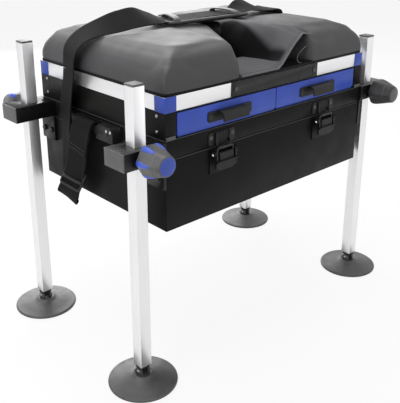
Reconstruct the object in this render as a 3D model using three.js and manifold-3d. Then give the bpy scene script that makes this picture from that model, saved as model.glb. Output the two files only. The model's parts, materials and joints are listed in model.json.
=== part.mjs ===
// Fishing seat box: a deep lower box, a hinged drawer cabinet with a shallow tray,
// a padded seat lid, and four clamped telescopic legs on swivelling mud feet.
// Millimetres, +Z up, +X along the long side, the front faces -Y.
// The origin is on the ground, in the middle of the footprint.
import * as THREE from 'three';
import { mergeVertices } from 'three/addons/utils/BufferGeometryUtils.js';
import Module from 'manifold-3d';

const wasm = await Module();
wasm.setup();

// Lower box and the cabinet that stands on it
const boxLength = 462.4;
const boxDepth = 330.6;
const groundClearance = 250.7;
const lowerBoxHeight = 110.6;
const sheetWall = 2;
const openingGap = 0.5;
const rimHeight = 29.1;
const rimEndGap = 0.8;
const cabinetHeight = 39.7;
const postWidth = 20.6;
const postDepth = 11.3;
const dividerThickness = 3;

// Shallow tray under the seat
const trayHeight = 22.6;
const trayWall = 1.5;
const cornerSheet = 0.8;
const cornerFrontLength = 21.5;
const cornerEndLength = 23;
const frontPlateLength = 204;
const frontPlateThickness = 1.2;
const frontPlateRise = 0.8;
const screwHeadRadius = 2.6;
const screwHeadHeight = 0.8;
const frontPlateScrewInset = 9;

// Drawers
const drawerFrontHeight = 33.4;
const drawerFrontThickness = 3;
const drawerFrontSideGap = 2;
const drawerMeetingGap = 1.5;
const drawerBottomGap = 3.7;
const drawerRunGap = 0.6;
const drawerWall = 1.6;
const drawerTrayDepth = 306;
const drawerTrayInset = 2.4;
const pullLength = 92;
const pullHeight = 17;
const pullPlate = 2;
const pullReach = 14;
const pullWall = 2.5;
const pullGripLength = 54;
const pullGripHeight = 14;
const pullEndSlope = 14;
const pullLift = 6;

// Arms that carry the legs
const armLength = 73.3;
const armWidth = 45.3;
const armHeight = 25.8;
const armLift = 3;
const armProud = 4;
const armSideGap = 0.8;
const armPlateThickness = 4;
const armPlateWidth = 40;
const armPlateDrop = 46;
const armBoltRadius = 5;
const armBoltHeight = 3;
const armBoltDrop = 28;
const armBoltSpacing = 22;

// Legs, their caps and their clamps
const legTube = 20;
const legWall = 1.6;
const legLength = 444.6;
const backLeftLegExtra = 16;
const legSlideGap = 0.4;
const legEndReach = 36.8;
const capHeight = 3;
const capPlugLength = 15;
const capFitGap = 0.2;
const knobRadius = 24.5;
const knobLength = 46;
const knobEndRadius = 14;
const knobCollarRadius = 13;
const knobSeatGap = 0.4;
const knobLobeDepth = 1.4;
const studRadius = 4;
const studGap = 0.4;

// Mud feet
const footRadius = 54.5;
const footRim = 4;
const footHubRadius = 13;
const footHubHeight = 14;
const footLipWidth = 3;
const pinHeight = 20;
const pinRadius = 2.4;
const pinGap = 0.2;
const lugThickness = 4;
const lugRadius = 6;
const tongueHalfWidth = 4.5;
const tongueRadius = 5;
const tongueSideGap = 0.5;
const stemNeck = 7;
const collarRadius = 11;
const collarThickness = 3.1;
const collarGap = 0.3;
const shankLength = 14;

// Hinges
const knuckleRadius = 3.5;
const knuckleStandOff = 0.2;
const leafThickness = 1.5;
const leafStart = 3.8;
const hingePinRadius = 1.2;
const hingePinGap = 0.3;
const knuckleGap = 0.5;
const mainHingeInset = 41.2;
const mainLeafHeight = 22;
const lidHingeInset = 51.2;
const lidLeafHeight = 14;

// Latches: sizes across X, out from the front face, and up from the pivot pin
const latchOffset = 122;
const latchWidth = 50;
const latchPlate = 2;
const latchPivotDrop = 9;
const latchPivotOut = 8;
const latchPinRadius = 1.8;
const latchBoreGap = 0.3;
const latchBaseRise = 6;
const latchBaseDrop = 33;
const latchEarThickness = 3;
const latchEarRadius = 4.6;
const latchSideGap = 0.5;
const leverCheek = 3.6;
const leverDrop = 26;
const leverSkin = 2.4;
const leverWebDrop = 13;
const leverRidgeDrop = 17;
const leverRidgeHeight = 3;
const leverRidgeDepth = 3;
const clawPivotDrop = 8;
const clawBarrelRadius = 2.8;
const clawThickness = 2;
const clawRise = 20;
const clawPinClearance = 0.6;
const clawLipHeight = 3.2;
const clawLipDepth = 2.6;
const keeperHeight = 19;
const keeperBottomGap = 2.4;
const keeperRibDepth = 4.2;
const keeperRibWidth = 3;
const keeperRidgeHeight = 3.4;
const keeperWidth = 46;

// Seat lid
const lidGap = 0.4;
const boardThickness = 3;
const boardInset = 6.2;
const boardBackInset = 1.8;
const battenWidth = 18;
const battenHeight = 12;
const softGap = 0.3;
const padHeight = 56;
const padCrown = 4;
const padWallHeight = 9;
const padDrawIn = 1.2;
const padEndRound = 48;
const padFrontRound = 44;
const padValleyRound = 26;
const padSeamRound = 4;
const padCornerRadius = 12;
const padInnerCornerRadius = 7;
const seamGap = 1.2;

// Shoulder strap, its side brackets and its shoulder pad
const webWidth = 50;
const webThickness = 2;
const webClearance = 0.8;
const sliderThickness = 3.6;
const bracketLength = 111;
const bracketFrontReach = 60;
const bracketHeight = 24;
const bracketDrop = 5;
const bracketPlate = 2;
const bracketReach = 16;
const bracketFrontBlock = 44;
const bracketBackBlock = 7;
const bracketBarDepth = 7;
const bracketBarHeight = 12;
const bracketChamfer = 6;
const shoulderLength = 178;
const shoulderWidth = 64;
const shoulderSole = 3;
const shoulderRimWidth = 5;
const shoulderRimHeight = 6;
const bridgeWidth = 12;
const bridgeThickness = 2.5;
const bridgeRise = 7.5;
const bridgeInset = 26;
const shoulderCentreX = 5;
const shoulderCentreY = 18;
const shoulderTurnShare = -0.045;

// One overrun serves every cut
const overrun = 1;

// Points of a surface closer than this are one point
const mergeTolerance = 1e-4;

// Counts of sides and steps
const roundSides = 24;
const pinSides = 16;
const footSides = 48;
const knobSides = 36;
const knobLobes = 6;
const cornerSteps = 5;
const padLevels = 7;
const padCrownRings = 3;
const webStepsPerSpan = 4;
const flapColumns = 22;
const flapRows = 16;

// Places worked out from the sizes
const boxHalfLength = boxLength / 2;
const boxHalfDepth = boxDepth / 2;
const lowerBoxTop = groundClearance + lowerBoxHeight;
const rimBottom = lowerBoxTop + openingGap;
const rimTop = rimBottom + rimHeight;
const cabinetTop = rimTop + cabinetHeight;
const trayTop = cabinetTop + trayHeight;
const lidBottom = trayTop + lidGap;
const padTop = lidBottom + padHeight;
const seatTop = padTop + padCrown;
const trayFrameHalfLength = boxHalfLength - cornerSheet;
const trayFrameHalfDepth = boxHalfDepth - cornerSheet;
const armBottom = lowerBoxTop + armLift;
const armTop = armBottom + armHeight;
const armFaceY = boxHalfDepth + armProud;
const legX = boxHalfLength + legEndReach;
const legY = armFaceY - armWidth / 2;
const legBore = legTube / 2 - legWall;
const collarBottom = pinHeight + stemNeck;
const collarTop = collarBottom + collarThickness;
const legBottom = collarTop + collarGap;
const clampZ = armBottom + armHeight / 2;
const mainHingeZ = lowerBoxTop + openingGap / 2;
const lidHingeZ = trayTop + lidGap / 2;
const hingeAxisY = boxHalfDepth + knuckleStandOff + knuckleRadius;
const mainHingeLength = boxLength - 2 * mainHingeInset;
const lidHingeLength = boxLength - 2 * lidHingeInset;
const latchPivotZ = lowerBoxTop - latchPivotDrop;

// Solids from three.js geometry, joined and cut

function solidFrom(geometry) {
  const bare = geometry.clone();
  bare.deleteAttribute('normal');
  bare.deleteAttribute('uv');
  const merged = mergeVertices(bare, mergeTolerance);
  const vertProperties = new Float32Array(merged.attributes.position.array);
  const triVerts = new Uint32Array(merged.index.array);
  return new wasm.Manifold(new wasm.Mesh({ numProp: 3, vertProperties, triVerts }));
}

function geometryFrom(solid) {
  const mesh = solid.getMesh();
  const geometry = new THREE.BufferGeometry();
  geometry.setAttribute('position', new THREE.BufferAttribute(new Float32Array(mesh.vertProperties), 3));
  geometry.setIndex(new THREE.BufferAttribute(new Uint32Array(mesh.triVerts), 1));
  geometry.computeVertexNormals();
  return geometry;
}

function join(...solids) {
  return solids.reduce((whole, piece) => whole.add(piece));
}

function cut(solid, ...tools) {
  return tools.reduce((rest, tool) => rest.subtract(tool), solid);
}

// A box between two corners given axis by axis, in either order
function block(x0, x1, y0, y1, z0, z1) {
  const geometry = new THREE.BoxGeometry(Math.abs(x1 - x0), Math.abs(y1 - y0), Math.abs(z1 - z0));
  geometry.translate((x0 + x1) / 2, (y0 + y1) / 2, (z0 + z1) / 2);
  return solidFrom(geometry);
}

// Turns a shape drawn in its own plane so that it is extruded along x, y or z
function alongAxis(geometry, axis, start) {
  geometry.translate(0, 0, start);
  if (axis === 'x') geometry.applyMatrix4(new THREE.Matrix4().set(0, 0, 1, 0, 1, 0, 0, 0, 0, 1, 0, 0, 0, 0, 0, 1));
  if (axis === 'y') geometry.applyMatrix4(new THREE.Matrix4().set(1, 0, 0, 0, 0, 0, -1, 0, 0, 1, 0, 0, 0, 0, 0, 1));
  return geometry;
}

// An outline of [u, v] points extruded along an axis: u, v are y, z along x, x, z along y, and x, y along z
function prism(axis, outline, from, to) {
  const low = Math.min(from, to);
  const high = Math.max(from, to);
  const shape = new THREE.Shape(outline.map(([u, v]) => new THREE.Vector2(u, v)));
  const geometry = new THREE.ExtrudeGeometry(shape, { depth: high - low, bevelEnabled: false });
  return solidFrom(alongAxis(geometry, axis, axis === 'y' ? -high : low));
}

// A round bar along an axis, centred on u, v in the plane across it
function rod(axis, radius, from, to, u, v, sides = roundSides) {
  const turn = (2 * Math.PI) / sides;
  const outline = [];
  for (let i = 0; i < sides; i += 1) {
    const angle = turn * (i + 1 / 2);
    outline.push([u + radius * Math.cos(angle), v + radius * Math.sin(angle)]);
  }
  return prism(axis, outline, from, to);
}

// A closed skin over rings of equal point counts, with a flat or pointed cap at both ends
function loft(rings) {
  const count = rings[0].length;
  const centre = (ring) => ring
    .reduce((sum, p) => [sum[0] + p[0], sum[1] + p[1], sum[2] + p[2]], [0, 0, 0])
    .map((value) => value / count);
  const points = [...rings.flat(), centre(rings[0]), centre(rings[rings.length - 1])];
  const first = rings.length * count;
  const index = [];
  for (let r = 0; r < rings.length - 1; r += 1) {
    for (let i = 0; i < count; i += 1) {
      const a = r * count + i;
      const b = r * count + ((i + 1) % count);
      index.push(a, b, b + count);
      index.push(a, b + count, a + count);
    }
  }
  const top = (rings.length - 1) * count;
  for (let i = 0; i < count; i += 1) {
    const next = (i + 1) % count;
    index.push(first, next, i);
    index.push(first + 1, top + i, top + next);
  }
  const geometry = new THREE.BufferGeometry();
  geometry.setAttribute('position', new THREE.Float32BufferAttribute(points.flat(), 3));
  geometry.setIndex(index);
  return solidFrom(geometry);
}

// The object and its parts

const seatBox = new THREE.Group();
seatBox.name = 'fishing_seat_box';

const finishes = {
  blackCoat: { color: 0x17181a, roughness: 0.42, metalness: 0.1 },
  blackPlastic: { color: 0x1c1d1f, roughness: 0.55, metalness: 0 },
  greyPlastic: { color: 0x55575b, roughness: 0.5, metalness: 0 },
  footRubber: { color: 0x3c3d40, roughness: 0.65, metalness: 0 },
  bluePaint: { color: 0x2f45b5, roughness: 0.35, metalness: 0.1 },
  aluminium: { color: 0xd9dadd, roughness: 0.35, metalness: 0.9 },
  steel: { color: 0x9a9ca0, roughness: 0.35, metalness: 1 },
  vinyl: { color: 0x2c2c30, roughness: 0.45, metalness: 0 },
  webbing: { color: 0x151517, roughness: 0.9, metalness: 0 },
  board: { color: 0x8d7350, roughness: 0.8, metalness: 0 },
};

function addPart(name, solid, finish, parent = seatBox) {
  const material = new THREE.MeshStandardMaterial(finishes[finish]);
  const mesh = new THREE.Mesh(geometryFrom(solid), material);
  mesh.name = name;
  parent.add(mesh);
  return mesh;
}

const corners = [
  { place: 'front_left', sx: -1, sy: -1 },
  { place: 'front_right', sx: 1, sy: -1 },
  { place: 'back_left', sx: -1, sy: 1 },
  { place: 'back_right', sx: 1, sy: 1 },
];
const sides = [
  { place: 'left', sx: -1 },
  { place: 'right', sx: 1 },
];

// Lower box: a folded tray, open at the top

function lowerBox() {
  const outer = block(-boxHalfLength, boxHalfLength, -boxHalfDepth, boxHalfDepth, groundClearance, lowerBoxTop);
  const hollow = block(
    -boxHalfLength + sheetWall,
    boxHalfLength - sheetWall,
    -boxHalfDepth + sheetWall,
    boxHalfDepth - sheetWall,
    groundClearance + sheetWall,
    lowerBoxTop + overrun,
  );
  return cut(outer, hollow);
}

// Arm: a block with a square slide for the leg, and a plate bolted to the lower box

function arm(sx, sy) {
  const endX = boxHalfLength + armLength;
  const innerY = armFaceY - armWidth;
  const clearX = boxHalfLength + armSideGap;
  const body = block(sx * clearX, sx * endX, sy * innerY, sy * armFaceY, armBottom, armTop);
  const plateX = boxHalfLength + armPlateThickness;
  const plateY0 = sy * (legY - armPlateWidth / 2);
  const plateY1 = sy * (legY + armPlateWidth / 2);
  const plateBottom = armBottom - armPlateDrop;
  const plate = join(
    block(sx * boxHalfLength, sx * plateX, plateY0, plateY1, plateBottom, lowerBoxTop),
    block(sx * clearX, sx * plateX, plateY0, plateY1, plateBottom, armBottom + armPlateThickness),
  );
  const boltZ = armBottom - armBoltDrop;
  const bolts = [-1, 1].map((side) => rod(
    'x',
    armBoltRadius,
    sx * (plateX - armPlateThickness / 2),
    sx * (plateX + armBoltHeight),
    sy * legY + (side * armBoltSpacing) / 2,
    boltZ,
  ));
  const half = legTube / 2 + legSlideGap;
  const slide = block(
    sx * legX - half,
    sx * legX + half,
    sy * legY - half,
    sy * legY + half,
    armBottom - overrun,
    armTop + overrun,
  );
  const bore = rod('y', studRadius + studGap, sy * legY, sy * (armFaceY + overrun), sx * legX, clampZ);
  return cut(join(body, plate, ...bolts), slide, bore);
}

// Leg tube and its cap

function legTopAt(sx, sy) {
  return legBottom + legLength + (sx < 0 && sy > 0 ? backLeftLegExtra : 0);
}

function legTubeSolid(sx, sy) {
  const x = sx * legX;
  const y = sy * legY;
  const half = legTube / 2;
  const legTop = legTopAt(sx, sy);
  const outer = block(x - half, x + half, y - half, y + half, legBottom, legTop);
  const bore = block(x - legBore, x + legBore, y - legBore, y + legBore, legBottom - overrun, legTop + overrun);
  return cut(outer, bore);
}

function legCap(sx, sy) {
  const x = sx * legX;
  const y = sy * legY;
  const legTop = legTopAt(sx, sy);
  const half = legTube / 2;
  const plug = legBore - capFitGap;
  return join(
    block(x - half, x + half, y - half, y + half, legTop, legTop + capHeight),
    block(x - plug, x + plug, y - plug, y + plug, legTop - capPlugLength, legTop + capHeight / 2),
  );
}

// Mud foot: a cone on a disc with two lugs and a pin; its stem turns in the leg tube

function eyeOutline(halfWidth, centreY, centreZ, farZ) {
  const outline = [];
  const toUp = farZ > centreZ;
  for (let i = 0; i <= roundSides / 2; i += 1) {
    const angle = (toUp ? Math.PI : 0) + (i * 2 * Math.PI) / roundSides;
    outline.push([centreY + halfWidth * Math.cos(angle), centreZ + halfWidth * Math.sin(angle)]);
  }
  outline.push([centreY + (toUp ? halfWidth : -halfWidth), farZ]);
  outline.push([centreY + (toUp ? -halfWidth : halfWidth), farZ]);
  return outline;
}

function footStem(sx, sy) {
  const x = sx * legX;
  const y = sy * legY;
  const tongue = prism(
    'x',
    eyeOutline(tongueRadius, y, pinHeight, collarBottom + collarThickness / 2),
    x - tongueHalfWidth,
    x + tongueHalfWidth,
  );
  const collar = rod('z', collarRadius, collarBottom, collarTop, x, y);
  const shank = rod('z', legBore - capFitGap * 2, collarTop - collarThickness / 2, collarTop + shankLength, x, y);
  const reach = tongueHalfWidth + overrun;
  const eye = rod('x', pinRadius + pinGap, x - reach, x + reach, y, pinHeight, pinSides);
  return cut(join(tongue, collar, shank), eye);
}

function foot(sx, sy) {
  const profile = [
    [0, 0],
    [footRadius, 0],
    [footRadius, footRim],
    [footRadius - footLipWidth, footRim],
    [footHubRadius, footHubHeight],
    [0, footHubHeight],
  ].map(([r, z]) => new THREE.Vector2(r, z));
  const disc = new THREE.LatheGeometry(profile, footSides);
  disc.rotateX(Math.PI / 2);
  disc.translate(sx * legX, sy * legY, 0);
  const inner = tongueHalfWidth + tongueSideGap;
  const outer = inner + lugThickness;
  const x = sx * legX;
  const y = sy * legY;
  const lugs = [-1, 1].map((side) => prism(
    'x',
    eyeOutline(lugRadius, y, pinHeight, footHubHeight - footRim),
    x + side * inner,
    x + side * outer,
  ));
  const pin = rod('x', pinRadius, x - outer, x + outer, y, pinHeight, pinSides);
  return join(solidFrom(disc), ...lugs, pin);
}

// Clamp knob: a lobed grip that tapers to a round end, on a stud that presses on the leg

function knobRing(distance, radius, lobe) {
  const ring = [];
  for (let i = 0; i < knobSides; i += 1) {
    const angle = (i * 2 * Math.PI) / knobSides;
    const r = radius - (lobe * (1 - Math.cos(knobLobes * angle))) / 2;
    ring.push([r * Math.cos(angle), r * Math.sin(angle), distance]);
  }
  return ring;
}

const knobShares = [
  { along: 0, bulge: 0, collar: 1, lobe: 0 },
  { along: 0.08, bulge: 0, collar: 1, lobe: 0 },
  { along: 0.12, bulge: 0.86, collar: 0, lobe: 0.5 },
  { along: 0.2, bulge: 0.98, collar: 0, lobe: 1 },
  { along: 0.34, bulge: 1, collar: 0, lobe: 1 },
  { along: 0.62, bulge: 0.72, collar: 0, lobe: 0.8 },
  { along: 0.9, bulge: 0.16, collar: 0, lobe: 0.2 },
  { along: 0.97, bulge: 0, collar: 0, lobe: 0 },
];
const knobEndRoundShare = 0.9;

function knob() {
  const rings = knobShares.map(({ along, bulge, collar, lobe }) => {
    const grip = knobEndRadius + bulge * (knobRadius - knobEndRadius);
    const radius = collar ? knobCollarRadius : grip;
    return knobRing(knobSeatGap + along * (knobLength - knobSeatGap), radius, lobe * knobLobeDepth);
  });
  rings.push(knobRing(knobLength, knobEndRadius * knobEndRoundShare, 0));
  const legFace = armWidth / 2 - legTube / 2;
  const studStart = -(legFace - studGap);
  const stud = rod('z', studRadius, studStart, knobLength / 2, 0, 0, pinSides);
  return join(loft(rings), stud);
}

function addClamp(corner) {
  const holder = new THREE.Group();
  holder.position.set(corner.sx * legX, corner.sy * armFaceY, clampZ);
  holder.rotation.x = -corner.sy * (Math.PI / 2);
  seatBox.add(holder);
  addPart(`clamp_knob_${corner.place}`, knob(), 'greyPlastic', holder);
}

// Rim: the lid of the lower box and floor of the cabinet

function rimTray() {
  const halfLength = boxHalfLength - rimEndGap;
  const outer = block(-halfLength, halfLength, -boxHalfDepth, boxHalfDepth, rimBottom, rimTop);
  const hollow = block(
    -halfLength + sheetWall,
    halfLength - sheetWall,
    -boxHalfDepth + sheetWall,
    boxHalfDepth - sheetWall,
    rimBottom - overrun,
    rimTop - sheetWall,
  );
  return cut(outer, hollow);
}

// Cabinet shell: ends, back, top deck, front posts and divider

function cabinetShell() {
  const outer = block(-boxHalfLength, boxHalfLength, -boxHalfDepth, boxHalfDepth, rimTop, cabinetTop);
  const inner = block(
    -boxHalfLength + sheetWall,
    boxHalfLength - sheetWall,
    -boxHalfDepth - overrun,
    boxHalfDepth - sheetWall,
    rimTop - overrun,
    cabinetTop - sheetWall,
  );
  const posts = sides.map(({ sx }) => block(
    sx * (boxHalfLength - postWidth),
    sx * boxHalfLength,
    -boxHalfDepth,
    -boxHalfDepth + postDepth,
    rimTop,
    cabinetTop - sheetWall / 2,
  ));
  const dividerFront = -boxHalfDepth + drawerFrontThickness + drawerRunGap;
  const divider = block(
    -dividerThickness / 2,
    dividerThickness / 2,
    dividerFront,
    boxHalfDepth - sheetWall / 2,
    rimTop,
    cabinetTop - sheetWall / 2,
  );
  return join(cut(outer, inner), ...posts, divider);
}

// Drawer: front panel and open tray in one piece

const drawerOuterX = boxHalfLength - postWidth - drawerFrontSideGap;
const drawerInnerX = drawerMeetingGap / 2;
const drawerFrontBottom = rimTop + drawerBottomGap;

function drawer(sx) {
  const panelBack = -boxHalfDepth + drawerFrontThickness;
  const panel = block(
    sx * drawerInnerX,
    sx * drawerOuterX,
    -boxHalfDepth,
    panelBack,
    drawerFrontBottom,
    drawerFrontBottom + drawerFrontHeight,
  );
  const trayBottom = rimTop + drawerRunGap;
  const trayRim = cabinetTop - sheetWall - drawerRunGap;
  const innerX = dividerThickness / 2 + drawerRunGap;
  const outerX = drawerOuterX - drawerTrayInset;
  const trayBack = panelBack + drawerTrayDepth;
  const tray = block(sx * innerX, sx * outerX, panelBack - drawerFrontThickness / 2, trayBack, trayBottom, trayRim);
  const hollow = block(
    sx * (innerX + drawerWall),
    sx * (outerX - drawerWall),
    panelBack,
    trayBack - drawerWall,
    trayBottom + drawerWall,
    trayRim + overrun,
  );
  return join(cut(tray, hollow), panel);
}

// Drawer pull: a screwed plate with a hollow bridge for the fingers, open at its left and below

function drawerPull(sx) {
  const face = boxHalfDepth;
  const x = (sx * (drawerInnerX + drawerOuterX)) / 2;
  const z = drawerFrontBottom + pullLift;
  const plate = block(x - pullLength / 2, x + pullLength / 2, -face, -face - pullPlate, z, z + pullHeight);
  const left = x - pullGripLength / 2;
  const right = x + pullGripLength / 2;
  const out = -face - pullPlate - pullReach;
  const seat = -face - pullPlate / 2;
  const gripBottom = z + (pullHeight - pullGripHeight) / 2;
  const grip = prism('z', [
    [left, seat],
    [right, seat],
    [right, -face - pullPlate],
    [right - pullEndSlope, out],
    [left, out],
  ], gripBottom, gripBottom + pullGripHeight);
  const room = prism('z', [
    [left - overrun, -face - pullPlate],
    [right - pullWall * 2, -face - pullPlate],
    [right - pullEndSlope - pullWall / 2, out + pullWall],
    [left - overrun, out + pullWall],
  ], gripBottom - overrun, gripBottom + pullGripHeight - pullWall);
  const screws = [-1, 1].map((side) => rod(
    'y',
    screwHeadRadius,
    seat,
    -face - pullPlate - screwHeadHeight,
    x + side * (pullLength / 2 - frontPlateScrewInset),
    z + pullHeight / 2,
    pinSides,
  ));
  return join(plate, cut(grip, room), ...screws);
}

// Shallow tray: a band of aluminium, sheet corners and a screwed front plate

function trayFrame() {
  const outer = block(
    -trayFrameHalfLength,
    trayFrameHalfLength,
    -trayFrameHalfDepth,
    trayFrameHalfDepth,
    cabinetTop,
    trayTop,
  );
  const hollow = block(
    -trayFrameHalfLength + trayWall,
    trayFrameHalfLength - trayWall,
    -trayFrameHalfDepth + trayWall,
    trayFrameHalfDepth - trayWall,
    cabinetTop - overrun,
    trayTop + overrun,
  );
  return cut(outer, hollow);
}

function trayCorner(sx, sy) {
  const x = sx * boxHalfLength;
  const y = sy * boxHalfDepth;
  const innerX = sx * trayFrameHalfLength;
  const innerY = sy * trayFrameHalfDepth;
  const outline = [
    [x, y],
    [x - sx * cornerFrontLength, y],
    [x - sx * cornerFrontLength, innerY],
    [innerX, innerY],
    [innerX, y - sy * cornerEndLength],
    [x, y - sy * cornerEndLength],
  ];
  return prism('z', outline, cabinetTop, trayTop);
}

const plateScrewDropShare = 0.7;

function trayFrontPlate() {
  const half = frontPlateLength / 2;
  const inner = -trayFrameHalfDepth;
  const outer = inner - frontPlateThickness;
  const bottom = cabinetTop + frontPlateRise;
  const plate = block(-half, half, inner, outer, bottom, trayTop);
  const screws = [-1, 1].map((side) => rod(
    'y',
    screwHeadRadius,
    inner - frontPlateThickness / 2,
    outer - screwHeadHeight,
    side * (half - frontPlateScrewInset),
    trayTop - frontPlateScrewInset * plateScrewDropShare,
    pinSides,
  ));
  return join(plate, ...screws);
}

// Hinge leaves on the back: the lower leaf holds the pin and three knuckles, the upper two knuckles

function hingeLeaf({ length, z, height, up, seat }) {
  const direction = up ? 1 : -1;
  const span = (length - 4 * knuckleGap) / 5;
  const own = up ? [1, 3] : [0, 2, 4];
  const face = boxHalfDepth + leafThickness;
  let leaf = block(
    -length / 2,
    length / 2,
    seat,
    face,
    z + direction * leafStart,
    z + direction * (leafStart + height),
  );
  for (const place of own) {
    const start = -length / 2 + place * (span + knuckleGap);
    const web = block(start, start + span, boxHalfDepth, hingeAxisY, z, z + direction * (leafStart + leafThickness));
    leaf = join(leaf, web, rod('x', knuckleRadius, start, start + span, hingeAxisY, z));
  }
  const half = length / 2;
  const pin = rod('x', hingePinRadius, -half, half, hingeAxisY, z, pinSides);
  const bore = rod('x', hingePinRadius + hingePinGap, -half - overrun, half + overrun, hingeAxisY, z, pinSides);
  return up ? cut(leaf, bore) : join(leaf, pin);
}

// Latch: base with ears, lever, claw and keeper; out is measured from the front face

function latchBox(x0, x1, out0, out1, z0, z1) {
  return block(x0, x1, -boxHalfDepth - out0, -boxHalfDepth - out1, z0, z1);
}

function latchRod(radius, x0, x1, out, z) {
  return rod('x', radius, x0, x1, -boxHalfDepth - out, z, pinSides);
}

const leverHalfWidth = latchWidth / 2 - latchEarThickness - latchSideGap;
const clawHalfWidth = leverHalfWidth - leverCheek - latchSideGap;
const clawPivotZ = latchPivotZ - clawPivotDrop;
const leverFace = latchPivotOut + latchEarRadius;

function latchBase(x) {
  const half = latchWidth / 2;
  const top = latchPivotZ + latchBaseRise;
  const plate = latchBox(x - half, x + half, 0, latchPlate, latchPivotZ - latchBaseDrop, top);
  const ears = [-1, 1].map((side) => {
    const outer = x + side * half;
    const inner = outer - side * latchEarThickness;
    return join(
      latchBox(outer, inner, latchPlate / 2, latchPivotOut, latchPivotZ - latchEarRadius, latchPivotZ + latchEarRadius),
      latchRod(latchEarRadius, outer, inner, latchPivotOut, latchPivotZ),
    );
  });
  const pin = latchRod(latchPinRadius, x - half, x + half, latchPivotOut, latchPivotZ);
  return join(plate, ...ears, pin);
}

function latchLever(x) {
  const bottom = latchPivotZ - leverDrop;
  const cheeks = [-1, 1].map((side) => {
    const outer = x + side * leverHalfWidth;
    const inner = outer - side * leverCheek;
    return join(
      latchRod(latchEarRadius, outer, inner, latchPivotOut, latchPivotZ),
      latchBox(outer, inner, latchPivotOut - latchEarRadius, leverFace, bottom + leverSkin, latchPivotZ),
    );
  });
  const web = latchBox(
    x - leverHalfWidth,
    x + leverHalfWidth,
    leverFace - leverSkin,
    leverFace,
    bottom,
    latchPivotZ - leverWebDrop,
  );
  const ridgeTop = latchPivotZ - leverRidgeDrop;
  const ridge = latchBox(
    x - clawHalfWidth,
    x + clawHalfWidth,
    leverFace - leverSkin / 2,
    leverFace + leverRidgeDepth,
    ridgeTop - leverRidgeHeight,
    ridgeTop,
  );
  const tab = latchBox(
    x - clawHalfWidth,
    x + clawHalfWidth,
    leverFace - leverSkin,
    leverFace + leverRidgeDepth,
    bottom - leverSkin,
    bottom + leverSkin / 2,
  );
  const reach = leverHalfWidth + overrun;
  const boreRadius = latchPinRadius + latchBoreGap;
  const pinBore = latchRod(boreRadius, x - reach, x + reach, latchPivotOut, latchPivotZ);
  const clawBore = latchRod(boreRadius, x - reach, x + reach, latchPivotOut, clawPivotZ);
  return cut(join(...cheeks, web, ridge, tab), pinBore, clawBore);
}

// How high the claw's foot reaches on its barrel
const clawFootShare = 0.8;

function latchClaw(x) {
  const back = latchPivotOut + latchPinRadius + clawPinClearance;
  const front = back + clawThickness;
  const top = latchPivotZ + clawRise;
  const barrel = latchRod(clawBarrelRadius, x - clawHalfWidth, x + clawHalfWidth, latchPivotOut, clawPivotZ);
  const foot = latchBox(
    x - clawHalfWidth,
    x + clawHalfWidth,
    latchPivotOut,
    front,
    clawPivotZ - clawBarrelRadius / 2,
    clawPivotZ + clawBarrelRadius * clawFootShare,
  );
  const plate = latchBox(x - clawHalfWidth, x + clawHalfWidth, back, front, clawPivotZ, top);
  const lip = latchBox(
    x - clawHalfWidth,
    x + clawHalfWidth,
    back - clawLipDepth,
    front,
    top - clawLipHeight,
    top,
  );
  const pin = latchRod(
    latchPinRadius,
    x - leverHalfWidth,
    x + leverHalfWidth,
    latchPivotOut,
    clawPivotZ,
  );
  return join(barrel, foot, plate, lip, pin);
}

function latchKeeper(x) {
  const half = keeperWidth / 2;
  const bottom = rimBottom + keeperBottomGap;
  const top = bottom + keeperHeight;
  const plate = latchBox(x - half, x + half, 0, latchPlate, bottom, top);
  const ribs = [-1, 1].map((side) => {
    const outer = x + side * (clawHalfWidth + keeperRibWidth);
    return latchBox(outer, outer - side * keeperRibWidth, latchPlate / 2, latchPlate + keeperRibDepth, bottom, top);
  });
  const ridge = latchBox(
    x - clawHalfWidth,
    x + clawHalfWidth,
    latchPlate / 2,
    latchPlate + keeperRibDepth - clawPinClearance,
    bottom,
    bottom + keeperRidgeHeight,
  );
  const screws = [-1, 1].map((side) => rod(
    'y',
    screwHeadRadius,
    -boxHalfDepth - latchPlate / 2,
    -boxHalfDepth - latchPlate - screwHeadHeight,
    x + side * (half - screwHeadRadius - screwHeadHeight),
    top - screwHeadRadius - screwHeadHeight,
    pinSides,
  ));
  return join(plate, ...ribs, ridge, ...screws);
}

// Seat board with a batten at the back for the hinge screws

const boardHalfLength = boxHalfLength - boardInset;
const boardFront = -boxHalfDepth + boardInset;
const boardBack = boxHalfDepth - boardBackInset;

function seatBoard(gap = 0) {
  const x = boardHalfLength + gap;
  const front = boardFront - gap;
  const back = boardBack + gap;
  const bottom = gap ? lidBottom - overrun : lidBottom;
  const batten = block(-x, x, back - battenWidth - gap, back, bottom, lidBottom + battenHeight + gap);
  return join(block(-x, x, front, back, bottom, lidBottom + boardThickness + gap), batten);
}

// Cushions: rounded outlines that rise as a quarter ellipse and then crown

const seamX = 6;
const valleyFrontLeft = -82;
const valleyFrontRight = 87;
const valleyEndLeft = -25;
const valleyEndRight = 5;

function pad(place) {
  const x = boxHalfLength;
  const y = boxHalfDepth;
  if (place === 'left') {
    return [
      { at: [-x, -y], corner: padCornerRadius, round: padFrontRound },
      { at: [valleyFrontLeft, -y], corner: padInnerCornerRadius, round: padValleyRound },
      { at: [seamX - seamGap, valleyEndLeft], corner: padInnerCornerRadius, round: padSeamRound },
      { at: [seamX - seamGap, y], corner: padSeamRound, round: padFrontRound },
      { at: [-x, y], corner: padCornerRadius, round: padEndRound },
    ];
  }
  return [
    { at: [valleyFrontRight, -y], corner: padInnerCornerRadius, round: padFrontRound },
    { at: [x, -y], corner: padCornerRadius, round: padEndRound },
    { at: [x, y], corner: padCornerRadius, round: padFrontRound },
    { at: [seamX + seamGap, y], corner: padSeamRound, round: padSeamRound },
    { at: [seamX + seamGap, valleyEndRight], corner: padInnerCornerRadius, round: padValleyRound },
  ];
}

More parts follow.
